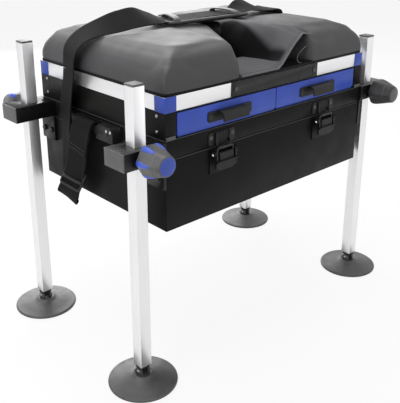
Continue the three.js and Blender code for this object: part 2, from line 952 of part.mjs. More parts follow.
// The edge from each corner to the next, as its inward normal and its distance from the origin
function padEdges(outline) {
  return outline.map(({ at, round }, i) => {
    const next = outline[(i + 1) % outline.length].at;
    const length = Math.hypot(next[0] - at[0], next[1] - at[1]);
    const normal = [-(next[1] - at[1]) / length, (next[0] - at[0]) / length];
    return { normal, reach: normal[0] * at[0] + normal[1] * at[1], round };
  });
}

// The outline moved in by a share of each edge's own rounding, with an arc at every corner
function padRing(outline, edges, share, extra, z) {
  const ring = [];
  outline.forEach(({ corner }, i) => {
    const before = edges[(i + edges.length - 1) % edges.length];
    const after = edges[i];
    const a = before.reach + before.round * share + extra;
    const b = after.reach + after.round * share + extra;
    const det = before.normal[0] * after.normal[1] - before.normal[1] * after.normal[0];
    const radius = corner + (Math.min(before.round, after.round) * share) / 2;
    const meet = (u, v) => [
      (u * after.normal[1] - v * before.normal[1]) / det,
      (v * before.normal[0] - u * after.normal[0]) / det,
    ];
    const centre = meet(a + radius, b + radius);
    const from = Math.atan2(-before.normal[1], -before.normal[0]);
    let sweep = Math.atan2(-after.normal[1], -after.normal[0]) - from;
    if (sweep < 0) sweep += 2 * Math.PI;
    for (let k = 0; k <= cornerSteps; k += 1) {
      const angle = from + (sweep * k) / cornerSteps;
      ring.push([centre[0] + radius * Math.cos(angle), centre[1] + radius * Math.sin(angle), z]);
    }
  });
  return ring;
}

function padMiddle(outline, edges) {
  const ring = padRing(outline, edges, 1, 0, padTop);
  return [0, 1].map((axis) => ring.reduce((sum, p) => sum + p[axis], 0) / ring.length);
}

function cushion(place) {
  const outline = pad(place);
  const edges = padEdges(outline);
  const wallTop = lidBottom + padWallHeight;
  const rings = [
    padRing(outline, edges, 0, padDrawIn, lidBottom),
    padRing(outline, edges, 0, 0, lidBottom + padWallHeight / 2),
  ];
  for (let level = 0; level <= padLevels; level += 1) {
    const angle = (level / padLevels) * (Math.PI / 2);
    const z = wallTop + (padTop - wallTop) * Math.sin(angle);
    rings.push(padRing(outline, edges, 1 - Math.cos(angle), 0, z));
  }
  const edge = rings[rings.length - 1];
  const middle = padMiddle(outline, edges);
  for (let k = 1; k <= padCrownRings; k += 1) {
    const share = 1 - k / (padCrownRings + 1);
    const z = padTop + padCrown * (1 - share * share);
    rings.push(edge.map(([x, y]) => [middle[0] + (x - middle[0]) * share, middle[1] + (y - middle[1]) * share, z]));
  }
  return cut(loft(rings), seatBoard(softGap));
}

// Height of a cushion over a point of the seat, zero outside it
function padSurface(place, x, y) {
  const outline = pad(place);
  const edges = padEdges(outline);
  const middle = padMiddle(outline, edges);
  let share = 1;
  let outward = 0;
  for (const { normal, reach, round } of edges) {
    const inside = normal[0] * x + normal[1] * y - reach;
    const whole = normal[0] * middle[0] + normal[1] * middle[1] - reach - round;
    share = Math.min(share, inside / round);
    outward = Math.max(outward, 1 - (inside - round) / whole);
  }
  if (share < 0) return 0;
  const wallTop = lidBottom + padWallHeight;
  const crown = padCrown * (1 - Math.min(outward, 1) ** 2);
  return wallTop + (padTop - wallTop) * Math.sqrt(1 - (1 - share) ** 2) + crown;
}

// Centre flap: a loose vinyl sheet that drops from the right cushion into the valley

const flapThickness = 1.8;
const flapGap = 0.4;
const flapBackY = 40;
const flapOverlap = 34;
const flapHemLift = 3;
const flapFoldX = 19;
const flapFoldShift = 24;
const flapFoldWidth = 9;
const flapHemSetback = 5;
const flapEdgeLift = 3;
const flapBulge = 7;
const flapArchDrop = 22;
const flapArchReach = 60;
const archLevelShare = 0.6;
const valleyRiseShare = 0.35;
const bulgePlaceShare = 0.22;

function smooth(value) {
  const t = Math.min(Math.max(value, 0), 1);
  return t * t * (3 - 2 * t);
}

function flapPoint(columnShare, rowShare) {
  const front = -boxHalfDepth;
  const y0 = front + (flapBackY - front) * rowShare;
  const inward = smooth((y0 - front) / (valleyEndLeft - front));
  const left = valleyFrontLeft + (seamX - valleyFrontLeft) * Math.min((y0 - front) / (valleyEndLeft - front), 1);
  const right = valleyFrontRight
    + (seamX - valleyFrontRight) * Math.min((y0 - front) / (valleyEndRight - front), 1)
    + flapOverlap * inward;
  const x = left + webClearance * 2 + (right - left - webClearance * 4) * columnShare;
  const y = y0 + flapHemSetback * smooth(x / valleyFrontRight) * (1 - rowShare);
  const depth = Math.min((y0 - front) / (valleyEndLeft - front), 1);
  const rise = smooth((depth - valleyRiseShare) / (1 - valleyRiseShare));
  const bulge = flapBulge * smooth(depth / bulgePlaceShare) * (1 - smooth(depth / bulgePlaceShare - 1));
  const floor = lidBottom + flapHemLift + (seatTop - lidBottom - flapHemLift) * rise + bulge;
  const fold = flapFoldX + flapFoldShift * inward;
  const width = flapFoldWidth * (1 + 2 * inward);
  const lift = smooth((x - fold + width) / (2 * width));
  const level = archLevelShare * smooth((x - fold) / flapArchReach);
  const crest = seatTop - flapArchDrop * (1 - inward) * (1 - level);
  const dip = flapEdgeLift * (1 - inward) * (1 - smooth(columnShare * 4));
  let z = floor + dip + (crest - floor) * lift;
  const under = Math.max(padSurface('right', x, y), padSurface('left', x, y), lidBottom + boardThickness);
  z = Math.max(z, under + flapGap);
  return [x, y, z];
}

function flap() {
  const rows = [];
  for (let r = 0; r <= flapRows; r += 1) {
    const row = [];
    for (let c = 0; c <= flapColumns; c += 1) row.push(flapPoint(c / flapColumns, r / flapRows));
    rows.push(row);
  }
  const rings = rows.map((row) => {
    const top = row.map(([x, y, z]) => [x, y, z + flapThickness]);
    return [...row, ...top.reverse()];
  });
  return loft(rings.reverse());
}

// Webbing: a flat section carried along stations that give its middle and its direction across,
// with both ends cut level

function webbing(stations, thickness = webThickness) {
  const middles = new THREE.CatmullRomCurve3(stations.map(({ at }) => new THREE.Vector3(...at)), false, 'centripetal');
  const spans = stations.length - 1;
  const steps = spans * webStepsPerSpan;
  const rings = [];
  for (let i = 0; i <= steps; i += 1) {
    const t = i / steps;
    const station = Math.min(Math.floor(t * spans), spans - 1);
    const local = t * spans - station;
    const across = new THREE.Vector3(...stations[station].across)
      .lerp(new THREE.Vector3(...stations[station + 1].across), smooth(local));
    const tangent = middles.getTangent(t);
    if (i === 0 || i === steps) tangent.set(0, 0, tangent.z);
    across.addScaledVector(tangent, -across.dot(tangent)).normalize();
    const normal = new THREE.Vector3().crossVectors(tangent, across).normalize();
    const middle = middles.getPoint(t);
    rings.push([[-1, -1], [1, -1], [1, 1], [-1, 1]].map(([u, v]) => middle.clone()
      .addScaledVector(across, (u * webWidth) / 2)
      .addScaledVector(normal, (v * thickness) / 2)
      .toArray()));
  }
  return loft(rings);
}

// Side bracket: a riveted plate with two blocks and a bar that the webbing is looped on

const bracketFrontY = -bracketFrontReach;
const bracketBackY = bracketFrontY + bracketLength;
const bracketTop = rimTop - bracketDrop;
const barY0 = bracketFrontY + bracketFrontBlock;
const barY1 = bracketBackY - bracketBackBlock;
const barZ = bracketTop - bracketHeight / 2 + bracketPlate;
const barOut = bracketReach - bracketBarDepth / 2;
const bracketWall = boxHalfLength - rimEndGap;

function strapBracket(sx) {
  const wall = bracketWall;
  const bottom = bracketTop - bracketHeight;
  const plate = block(sx * wall, sx * (wall + bracketPlate), bracketFrontY, bracketBackY, bottom, bracketTop);
  const outline = [
    [bracketFrontY, bottom],
    [barY0, bottom],
    [barY0, bracketTop - bracketChamfer],
    [barY0 - bracketChamfer, bracketTop],
    [bracketFrontY + bracketChamfer, bracketTop],
    [bracketFrontY, bracketTop - bracketChamfer],
  ];
  const frontBlock = prism('x', outline, sx * (wall + bracketPlate / 2), sx * (wall + bracketReach));
  const backBlock = block(
    sx * (wall + bracketPlate / 2),
    sx * (wall + bracketReach),
    barY1,
    bracketBackY,
    bottom,
    bracketTop,
  );
  const bar = block(
    sx * (wall + bracketReach - bracketBarDepth),
    sx * (wall + bracketReach),
    barY0 - overrun,
    barY1 + overrun,
    barZ - bracketBarHeight / 2,
    barZ + bracketBarHeight / 2,
  );
  const rivets = [-1, 1].map((side) => rod(
    'x',
    screwHeadRadius,
    sx * (wall + bracketReach - overrun),
    sx * (wall + bracketReach + screwHeadHeight),
    (bracketFrontY + barY0) / 2 + side * (bracketFrontBlock / 6),
    (bottom + bracketTop) / 2,
    pinSides,
  ));
  return join(plate, frontBlock, backBlock, bar, ...rivets);
}

// Hanging strap: looped over the bar, down to the slider, folded at the bottom and up the wall

const hangStandOffShare = 2.5;
const hookOverShare = 1.6;
const foldTightShare = 1.7;
const foldLowShare = 0.98;
const hookMiddleY = (barY0 + barY1) / 2 + bracketPlate;
const webGap = webThickness + webClearance;
const hookGap = webThickness / 2 + webClearance;
const hookOut = bracketReach - bracketBarDepth - hookGap;
const hangOut = bracketReach + hookGap + webThickness + webClearance * hangStandOffShare;
const barRise = bracketBarHeight / 2;
const strapDrop = barZ - groundClearance;
const foldRadius = webGap * foldTightShare;
const foldOut = hangOut - foldRadius;
const foldZ = barZ - strapDrop * foldLowShare;

// The falling strand: how far it has moved back and down, and how far its front edge leans out; the slider
// is at one of its stations
const fallShares = [
  { back: 0, down: 0.14, lean: 0 },
  { back: 0.08, down: 0.36, lean: 0.1 },
  { back: 0.22, down: 0.58, lean: 0.1 },
  { back: 0.42, down: 0.79, lean: 0.06, atSlider: true },
  { back: 0.58, down: 0.92, lean: 0 },
];
const foldTurnShares = [0, 0.25, 0.5, 0.75, 1];
const foldBackShare = 0.64;

// The rising strand: how far in from the falling one, how far back from the hook and down from the bar
const riseShares = [
  { inward: 3.4, back: 0.66, down: 0.85 },
  { inward: 3, back: 0.72, down: 0.58 },
  { inward: 2.6, back: 0.98, down: 0.34 },
];

// Past the bracket: how far out and back from it, and how far up from the bar to the lid
const wallShares = [
  { out: 3.4, back: 0.6, up: -0.26 },
  { out: 2.6, back: 0.68, up: 0.1 },
  { out: 2, back: 0.56, up: 0.4 },
  { out: 1.6, back: 0.36, up: 0.72 },
  { out: 1.4, back: 0.34, up: 1 },
];

// Stations of the hanging strap, out from the wall on the side sx
function hangingStations(sx) {
  const wallRise = trayTop - lidGap - barZ;
  const points = [
    { out: hookOut, y: hookMiddleY, z: barZ - 2 * barRise },
    { out: hookOut, y: hookMiddleY, z: barZ },
    { out: hookOut + webClearance, y: hookMiddleY, z: barZ + barRise + hookGap / 2 },
    { out: barOut, y: hookMiddleY, z: barZ + barRise + hookGap * hookOverShare },
    { out: hangOut - webClearance, y: hookMiddleY, z: barZ + barRise / 2 },
  ];
  for (const { back, down, lean, atSlider } of fallShares) {
    points.push({ out: hangOut, y: hookMiddleY + back * webWidth, z: barZ - down * strapDrop, lean, atSlider });
  }
  for (const turn of foldTurnShares) {
    const angle = turn * Math.PI;
    points.push({
      out: foldOut + foldRadius * Math.cos(angle),
      y: hookMiddleY + foldBackShare * webWidth,
      z: foldZ - foldRadius * Math.sin(angle),
    });
  }
  for (const { inward, back, down } of riseShares) {
    points.push({ out: hangOut - inward * webGap, y: hookMiddleY + back * webWidth, z: barZ - down * strapDrop });
  }
  for (const { out, back, up } of wallShares) {
    points.push({ out: out * webGap, y: bracketBackY + back * webWidth, z: barZ + up * wallRise });
  }
  return points.map(({ out, y, z, lean = 0, atSlider = false }) => ({
    at: [sx * (bracketWall + out), y, z],
    across: [sx * -lean, 1, 0],
    atSlider,
  }));
}

function hangingStrap(sx) {
  const stations = hangingStations(sx);
  const [x, y, z] = stations.find(({ atSlider }) => atSlider).at;
  const slider = block(
    x - (sx * sliderThickness) / 2,
    x + (sx * sliderThickness) / 2,
    y - webWidth / 2 - webThickness,
    y + webWidth / 2 + webThickness,
    z - sliderThickness,
    z + sliderThickness,
  );
  return join(webbing(stations), slider);
}

// Strap over the seat: up the left end, across the cushions through the shoulder pad, down the right end

const soleBottom = seatTop + flapGap + flapThickness + softGap;
const soleTop = soleBottom + shoulderSole;
const threadZ = soleTop + webThickness / 2 + webClearance + softGap;
const hangTop = hangingStations(1).at(-1).at;
const endOut = hangTop[0] - boxHalfLength;

// The strap over the seat: along the span from the box's end to the shoulder pad, back from the line it
// starts on and up from the lid's bottom, 1 being the seat's top; on the right from the pad to the end
const overWallShare = 0.34;
const overLeftShares = [
  { along: 0.02, back: -0.06, up: 0.73, lean: [0.1, 1, 0.05] },
  { along: 0.2, back: -0.2, up: 1.05, lean: [0.3, 1, 0.25] },
  { along: 0.45, back: -0.62, up: 1.24, lean: [0.3, 1, 0.5] },
  { along: 0.66, back: -0.78, up: 1.25, lean: [0.25, 1, 0.55] },
  { along: 0.93, back: -0.88, up: 1.2, lean: [0.1, 1, 0.2] },
];
const overRightShares = [
  { along: 0, back: 0.12, up: 1.25 },
  { along: 0.14, back: 0.14, up: 1.34 },
  { along: 0.36, back: 0.3, up: 1.15 },
  { along: 0.66, back: 0.56, up: 1.02 },
  { along: 0.96, back: 1.04, up: 0.8 },
];

function overStations() {
  const middle = (x) => shoulderCentreY + (x - shoulderCentreX) * shoulderTurnShare;
  const leftEnd = shoulderCentreX - shoulderLength / 2;
  const rightEnd = shoulderCentreX + shoulderLength / 2;
  const seatRise = seatTop - lidBottom;
  const wall = boxHalfLength + endOut;
  const startY = hangTop[1];
  const flat = [0, 1, 0];
  const across = [-shoulderTurnShare, 1, 0];
  const low = lidBottom + lidGap;
  const overLeft = overLeftShares.map(({ along, back, up, lean }) => ({
    at: [-boxHalfLength + along * (leftEnd + boxHalfLength), startY + back * webWidth, lidBottom + up * seatRise],
    across: lean,
  }));
  const overRight = overRightShares.map(({ along, back, up }) => ({
    at: [
      rightEnd + along * (boxHalfLength - rightEnd),
      middle(boxHalfLength) + back * webWidth,
      lidBottom + up * seatRise,
    ],
    across: flat,
  }));
  return [
    { at: [-wall, startY, low], across: flat },
    { at: [-wall, startY, lidBottom + overWallShare * seatRise], across: flat },
    ...overLeft,
    { at: [leftEnd + bridgeInset, middle(leftEnd + bridgeInset), threadZ], across },
    { at: [shoulderCentreX, shoulderCentreY, threadZ + webClearance], across },
    { at: [rightEnd - bridgeInset, middle(rightEnd - bridgeInset), threadZ], across },
    ...overRight,
    { at: [wall, startY, lidBottom + overWallShare * seatRise], across: flat },
    { at: [wall, startY, low], across: flat },
  ];
}

// Shoulder pad: a moulded sole with rims at its long edges and two bridges over the webbing

const bridgeTaperShare = 0.94;

function shoulderPad() {
  const halfLength = shoulderLength / 2;
  const halfWidth = shoulderWidth / 2;
  const sole = block(-halfLength, halfLength, -halfWidth, halfWidth, 0, shoulderSole);
  const rims = [-1, 1].map((side) => block(
    -halfLength,
    halfLength,
    side * (halfWidth - shoulderRimWidth),
    side * halfWidth,
    0,
    shoulderRimHeight,
  ));
  const bridges = [-1, 1].map((side) => {
    const x = side * (halfLength - bridgeInset);
    const inner = halfWidth - shoulderRimWidth;
    const low = shoulderRimHeight - bridgeThickness;
    const high = shoulderSole + bridgeRise;
    const outline = [
      [-halfWidth, low],
      [-inner, low],
      [-inner * bridgeTaperShare, high],
      [inner * bridgeTaperShare, high],
      [inner, low],
      [halfWidth, low],
      [halfWidth, shoulderRimHeight],
      [inner, high + bridgeThickness],
      [-inner, high + bridgeThickness],
      [-halfWidth, shoulderRimHeight],
    ];
    return prism('x', outline, x - bridgeWidth / 2, x + bridgeWidth / 2);
  });
  return join(sole, ...rims, ...bridges);
}

// Assembly

addPart('lower_box', lowerBox(), 'blackCoat');
for (const corner of corners) {
  addPart(`arm_${corner.place}`, arm(corner.sx, corner.sy), 'blackPlastic');
  addPart(`leg_${corner.place}`, legTubeSolid(corner.sx, corner.sy), 'aluminium');
  addPart(`leg_cap_${corner.place}`, legCap(corner.sx, corner.sy), 'blackPlastic');
  addPart(`foot_stem_${corner.place}`, footStem(corner.sx, corner.sy), 'blackPlastic');
  addPart(`foot_${corner.place}`, foot(corner.sx, corner.sy), 'footRubber');
  addClamp(corner);
  addPart(`tray_corner_${corner.place}`, trayCorner(corner.sx, corner.sy), 'bluePaint');
}

addPart('rim_tray', rimTray(), 'blackCoat');
addPart('cabinet_shell', cabinetShell(), 'blackCoat');
addPart('tray_frame', trayFrame(), 'aluminium');
addPart('tray_front_plate', trayFrontPlate(), 'blackPlastic');

const mainHinge = { length: mainHingeLength, z: mainHingeZ, height: mainLeafHeight, seat: boxHalfDepth };
addPart('main_hinge_lower', hingeLeaf({ ...mainHinge, up: false }), 'steel');
addPart('main_hinge_upper', hingeLeaf({ ...mainHinge, up: true }), 'steel');
const lidHinge = { length: lidHingeLength, z: lidHingeZ, height: lidLeafHeight };
addPart('lid_hinge_lower', hingeLeaf({ ...lidHinge, up: false, seat: trayFrameHalfDepth }), 'steel');
addPart('lid_hinge_upper', hingeLeaf({ ...lidHinge, up: true, seat: boxHalfDepth }), 'steel');

for (const side of sides) {
  const x = side.sx * latchOffset;
  addPart(`latch_base_${side.place}`, latchBase(x), 'blackPlastic');
  addPart(`latch_lever_${side.place}`, latchLever(x), 'blackPlastic');
  addPart(`latch_claw_${side.place}`, latchClaw(x), 'blackPlastic');
  addPart(`latch_keeper_${side.place}`, latchKeeper(x), 'blackPlastic');
  addPart(`drawer_${side.place}`, drawer(side.sx), 'bluePaint');
  addPart(`drawer_pull_${side.place}`, drawerPull(side.sx), 'blackPlastic');
  addPart(`strap_bracket_${side.place}`, strapBracket(side.sx), 'blackPlastic');
  addPart(`strap_hanging_${side.place}`, hangingStrap(side.sx), 'webbing');
  addPart(`cushion_${side.place}`, cushion(side.place), 'vinyl');
}

addPart('seat_board', seatBoard(), 'board');
addPart('centre_flap', flap(), 'vinyl');
addPart('strap_over_seat', webbing(overStations()), 'webbing');

const padHolder = new THREE.Group();
padHolder.position.set(shoulderCentreX, shoulderCentreY, soleBottom);
padHolder.rotation.z = Math.atan(shoulderTurnShare);
seatBox.add(padHolder);
addPart('shoulder_pad', shoulderPad(), 'blackPlastic', padHolder);

export default seatBox;
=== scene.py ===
"""Fishing seat box: finishes, padded seat, loose cover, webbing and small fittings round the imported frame."""

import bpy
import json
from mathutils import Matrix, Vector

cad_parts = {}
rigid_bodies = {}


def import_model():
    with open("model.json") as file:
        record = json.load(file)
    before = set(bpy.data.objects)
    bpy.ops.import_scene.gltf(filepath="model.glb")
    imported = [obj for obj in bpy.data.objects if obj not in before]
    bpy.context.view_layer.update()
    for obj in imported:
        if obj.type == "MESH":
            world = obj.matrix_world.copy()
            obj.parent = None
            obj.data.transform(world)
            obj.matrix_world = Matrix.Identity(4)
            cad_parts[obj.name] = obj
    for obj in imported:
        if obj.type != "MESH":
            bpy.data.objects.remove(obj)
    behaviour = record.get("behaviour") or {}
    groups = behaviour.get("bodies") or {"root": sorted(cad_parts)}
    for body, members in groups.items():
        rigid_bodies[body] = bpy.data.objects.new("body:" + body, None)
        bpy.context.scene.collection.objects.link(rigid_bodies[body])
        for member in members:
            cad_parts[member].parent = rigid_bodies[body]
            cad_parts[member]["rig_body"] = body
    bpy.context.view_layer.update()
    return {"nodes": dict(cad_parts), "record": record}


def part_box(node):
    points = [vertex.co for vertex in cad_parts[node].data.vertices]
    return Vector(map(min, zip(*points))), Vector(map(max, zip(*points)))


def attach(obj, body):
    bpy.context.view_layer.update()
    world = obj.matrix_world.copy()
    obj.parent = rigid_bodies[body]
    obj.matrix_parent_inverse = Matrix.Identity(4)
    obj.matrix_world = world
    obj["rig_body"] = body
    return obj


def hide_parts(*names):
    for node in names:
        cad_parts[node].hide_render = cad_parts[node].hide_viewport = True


bl_info = {
    "name": "Fishing seat box",
    "version": (1, 0, 0),
    "blender": (4, 5, 0),
    "location": "View3D > Sidebar > Seat box",
    "description": "Makes the finishes, cushions, webbing and fittings of a fishing seat box",
    "category": "Add Mesh",
}

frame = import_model()

import json
import math
from typing import NamedTuple

import bpy
import numpy as np
from mathutils import Euler, Vector

MM = 0.001
LEAST_BEND = 35
SLOTS = {part["node"]: part["material_slot"] for part in frame["record"]["subparts"]}
CORNERS = {
    "front_left": (-1, -1),
    "front_right": (1, -1),
    "back_left": (-1, 1),
    "back_right": (1, 1),
}
SIDES = {"left": -1, "right": 1}


def corners(node):
    """The lowest and the highest corner of a frame node, as arrays."""
    low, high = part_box(node)
    return np.array(low), np.array(high)


LID_BOTTOM = float(corners("seat_board")[0][2])
HALF_LENGTH, HALF_DEPTH = (float(value) for value in corners("lower_box")[1][:2])
UP, FRONT = (0, 0, 1), (0, -1, 0)


class SeatBoxSizes(bpy.types.PropertyGroup):
    """Sizes of the pieces that are made here"""

    web_width: bpy.props.FloatProperty(
        name="Webbing width", description="Width of the carry strap", default=0.05, unit="LENGTH")
    web_thickness: bpy.props.FloatProperty(
        name="Webbing thickness", description="Thickness of the carry strap", default=0.0018, unit="LENGTH")
    cover_thickness: bpy.props.FloatProperty(
        name="Cover thickness", description="Thickness of the loose cover", default=0.0016, unit="LENGTH")
    puff_limit: bpy.props.FloatProperty(
        name="Puff limit", description="How far the stuffing may push the cushion cover",
        default=0.003, unit="LENGTH")
    voxel: bpy.props.FloatProperty(
        name="Cushion mesh size", description="Size of the cushion's first mesh",
        default=0.004, unit="LENGTH")
    edge_round: bpy.props.FloatProperty(
        name="Edge rounding", description="Rounding of the folded and moulded edges",
        default=0.0007, unit="LENGTH")
    rivet_radius: bpy.props.FloatProperty(
        name="Rivet radius", description="Radius of the rivet heads", default=0.0026, unit="LENGTH")


class SeatBoxColours(bpy.types.PropertyGroup):
    """Colours of the finishes, as linear values"""

    coat: bpy.props.FloatVectorProperty(
        name="Box coat", description="Satin black coat of the box", default=(0.0062, 0.0059, 0.0056),
        subtype="COLOR")
    plastic: bpy.props.FloatVectorProperty(
        name="Black plastic", description="Moulded fittings", default=(0.012, 0.012, 0.012), subtype="COLOR")
    grey: bpy.props.FloatVectorProperty(
        name="Grey plastic", description="Knobs and end plugs", default=(0.09, 0.09, 0.093), subtype="COLOR")
    dark_grey: bpy.props.FloatVectorProperty(
        name="Dark grey plastic", description="Right-hand knobs", default=(0.03, 0.03, 0.032),
        subtype="COLOR")
    rubber: bpy.props.FloatVectorProperty(
        name="Foot rubber", description="Mud feet", default=(0.07, 0.07, 0.072), subtype="COLOR")
    blue: bpy.props.FloatVectorProperty(
        name="Blue", description="Drawer fronts and corners", default=(0.046, 0.094, 0.5), subtype="COLOR")
    aluminium: bpy.props.FloatVectorProperty(
        name="Aluminium", description="Legs and tray band", default=(0.88, 0.88, 0.89), subtype="COLOR")
    steel: bpy.props.FloatVectorProperty(
        name="Steel", description="Hinges, rivets and screws", default=(0.42, 0.42, 0.44), subtype="COLOR")
    vinyl: bpy.props.FloatVectorProperty(
        name="Vinyl", description="Cushion covers", default=(0.04, 0.039, 0.042), subtype="COLOR")
    webbing: bpy.props.FloatVectorProperty(
        name="Webbing", description="Carry strap", default=(0.005, 0.005, 0.0051), subtype="COLOR")
    wood: bpy.props.FloatVectorProperty(
        name="Plywood", description="Seat board", default=(0.38, 0.24, 0.12), subtype="COLOR")


def sizes():
    return bpy.context.scene.seat_box_sizes


def colours():
    return bpy.context.scene.seat_box_colours


# Surfaces as arrays


class Skin(NamedTuple):
    """Points, faces of four and of three corners, and each point's place on the flat pattern."""

    points: np.ndarray
    quads: np.ndarray
    triangles: np.ndarray
    flat: np.ndarray


def grid_index(rows, columns, wrap_rows=False, wrap_columns=False):
    """Numbers of a grid's points in rows, with the first row or column again at the end where it wraps."""
    index = np.arange(rows * columns).reshape(rows, columns)
    if wrap_rows:
        index = np.vstack([index, index[:1]])
    if wrap_columns:
        index = np.hstack([index, index[:, :1]])
    return index


def grid_quads(index):
    """A face of four corners between each two neighbours in both directions."""
    return np.stack([index[:-1, :-1], index[:-1, 1:], index[1:, 1:], index[1:, :-1]], -1).reshape(-1, 4)


def sheet_skin(lower, upper):
    """A closed wall between two grids of one size: a ring of both in every row, with both end rows closed."""
    rows, columns = lower.shape[:2]
    grid = np.concatenate([lower, upper[:, ::-1]], 1)
    sides = grid_quads(grid_index(rows, 2 * columns, wrap_columns=True))
    near = np.arange(columns - 1)
    far = 2 * columns - 1 - near
    end = np.stack([near, near + 1, far - 1, far], -1)
    quads = np.vstack([sides, end[:, ::-1], end + (rows - 1) * 2 * columns])
    points = grid.reshape(-1, 3)
    return outwards(Skin(points, quads, np.zeros((0, 3), int), np.zeros((len(points), 2))))


def grid_skin(grid, wrap_rows=False, wrap_columns=False, caps=False, flat=None):
    """Joins neighbours of a rows x columns x 3 grid with faces; caps close the first and last row by a fan
    round the row's middle."""
    index = grid_index(*grid.shape[:2], wrap_rows, wrap_columns)
    columns = grid.shape[1]
    quads = grid_quads(index)
    points = grid.reshape(-1, 3)
    flat = np.zeros((len(points), 2)) if flat is None else flat.reshape(-1, 2)
    triangles = np.zeros((0, 3), int)
    if caps:
        count = len(points)
        first, last = index[0], index[-1]
        fans = [(first[1:], first[:-1], count), (last[:-1], last[1:], count + 1)]
        triangles = np.vstack([np.stack([a, b, np.full(len(a), middle)], -1) for a, b, middle in fans])
        points = np.vstack([points, grid[0].mean(0), grid[-1].mean(0)])
        flat = np.vstack([flat, flat[:columns].mean(0), flat[-columns:].mean(0)])
    return outwards(Skin(points, quads, triangles, flat))


def ring_skin(grid):
    """A closed skin of rows that each run round, with both ends closed."""
    return grid_skin(grid, wrap_columns=True, caps=True)


def outwards(skin):
    """Turns the faces round where the volume that they enclose comes out negative."""
    a, b, c, d = (skin.points[skin.quads[:, k]] for k in range(4))
    volume = np.einsum("ij,ij->", a, np.cross(b, c)) + np.einsum("ij,ij->", a, np.cross(c, d))
    if len(skin.triangles):
        a, b, c = (skin.points[skin.triangles[:, k]] for k in range(3))
        volume += np.einsum("ij,ij->", a, np.cross(b, c))
    if volume < 0:
        return skin._replace(quads=skin.quads[:, ::-1], triangles=skin.triangles[:, ::-1])
    return skin


def moved(skin, matrix=None, offset=(0, 0, 0)):
    """The skin with every point turned or scaled by a 3 x 3 matrix and then shifted."""
    points = skin.points if matrix is None else skin.points @ np.asarray(matrix, float).T
    return outwards(skin._replace(points=points + np.asarray(offset, float)))


def mirrored(skin, side):
    """A piece of the right side for the side given: as it is for 1, and turned over for -1."""
    return moved(skin, np.diag([side, 1, 1]))


def put(name, *skins, smooth=True):
    """A mesh object made of the skins, with the flat pattern as its UV map."""
    starts = np.cumsum([0] + [len(skin.points) for skin in skins])
    faces = []
    for skin, start in zip(skins, starts):
        faces += (skin.quads + start).tolist() + (skin.triangles + start).tolist()
    mesh = bpy.data.meshes.new(name)
    mesh.from_pydata(np.vstack([skin.points for skin in skins]).tolist(), [], faces)
    corner_points = np.empty(len(mesh.loops), np.int32)
    mesh.loops.foreach_get("vertex_index", corner_points)
    flat = np.vstack([skin.flat for skin in skins])
    mesh.uv_layers.new(name="flat").data.foreach_set("uv", flat[corner_points].astype(np.float32).ravel())
    shade_smooth(mesh, smooth)
    mesh.update()
    return linked(bpy.data.objects.new(name, mesh))


def linked(obj):
    """Puts an object into the scene."""
    bpy.context.scene.collection.objects.link(obj)
    return obj


def shade_smooth(mesh, smooth=True):
    mesh.polygons.foreach_set("use_smooth", np.full(len(mesh.polygons), smooth))


def read_points(mesh):
    points = np.empty(len(mesh.vertices) * 3, np.float32)
    mesh.vertices.foreach_get("co", points)
    return points.reshape(-1, 3).astype(float)


def write_points(mesh, points):
    mesh.vertices.foreach_set("co", points.astype(np.float32).ravel())
    mesh.update()


def settle(obj, body, slot, *replaced, material=None):
    """Gives a piece its finish, the body that it rides on and the nodes that it stands for."""
    obj.data.materials.clear()
    obj.data.materials.append(FINISHES[material or slot])
    if body:
        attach(obj, body)
    if replaced:
        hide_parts(*replaced)
    return obj


def unit(vectors):
    """The vectors at length one."""
    return vectors / np.linalg.norm(vectors, axis=-1, keepdims=True)


def smooth_step(value):
    """Runs from zero to one between 0 and 1 as 3 t squared less 2 t cubed, level at both ends."""
    t = np.clip(value, 0, 1)
    return t * t * (3 - 2 * t)


def spline(stations, count):
    """Evenly spaced points on a smooth curve through the stations: a cubic in each span, whose slopes at the
    stations come from the neighbours. Columns past the third are carried along."""
    points = np.asarray(stations, float)
    knots = np.concatenate([[0], np.cumsum(np.sqrt(np.linalg.norm(np.diff(points[:, :3], axis=0), axis=1)))])
    slopes = np.gradient(points, knots, axis=0)
    places = np.linspace(0, knots[-1], count * 8)
    span = np.clip(np.searchsorted(knots, places, "right") - 1, 0, len(knots) - 2)
    width = np.diff(knots)[span][:, None]
    t = (places - knots[span])[:, None] / width
    curve = (
        (2 * t**3 - 3 * t**2 + 1) * points[span]
        + (t**3 - 2 * t**2 + t) * width * slopes[span]
        + (3 * t**2 - 2 * t**3) * points[span + 1]
        + (t**3 - t**2) * width * slopes[span + 1]
    )
    reach = travelled(curve[:, :3])
    even = np.linspace(0, reach[-1], count)
    return np.stack([np.interp(even, reach, column) for column in curve.T], -1)


def travelled(path):
    """Distance along a path from its start to each of its points."""
    return np.concatenate([[0], np.cumsum(np.linalg.norm(np.diff(path, axis=0), axis=1))])


def length_of(path):
    return float(travelled(path)[-1])


def sweep(path, side, up, section, closed=False):
    """Carries a closed section of (u, v) points along a path: each point is path + u * side + v * up."""
    side, up = np.broadcast_to(side, path.shape), np.broadcast_to(up, path.shape)
    section = np.broadcast_to(section, (len(path),) + np.shape(section)[-2:])
    grid = path[:, None] + section[..., :1] * side[:, None] + section[..., 1:] * up[:, None]
    flat = np.stack(np.broadcast_arrays(travelled(path)[:, None], section[..., 0]), -1)
    return grid_skin(grid, wrap_rows=closed, wrap_columns=True, caps=not closed, flat=flat)


def hoop(path, face, section):
    """Carries a section round a closed flat path: u points out of the loop and v along its face's normal."""
    ahead = unit(np.roll(path, -1, 0) - np.roll(path, 1, 0))
    return sweep(path, np.cross(ahead, face), face, section, closed=True)


def follow(path, aside, section):
    """Carries a section along an open path: u is square to the path and to the direction aside."""
    ahead = unit(np.gradient(path, axis=0))
    side = unit(np.cross(ahead, aside))
    return sweep(path, side, np.cross(ahead, side), section)


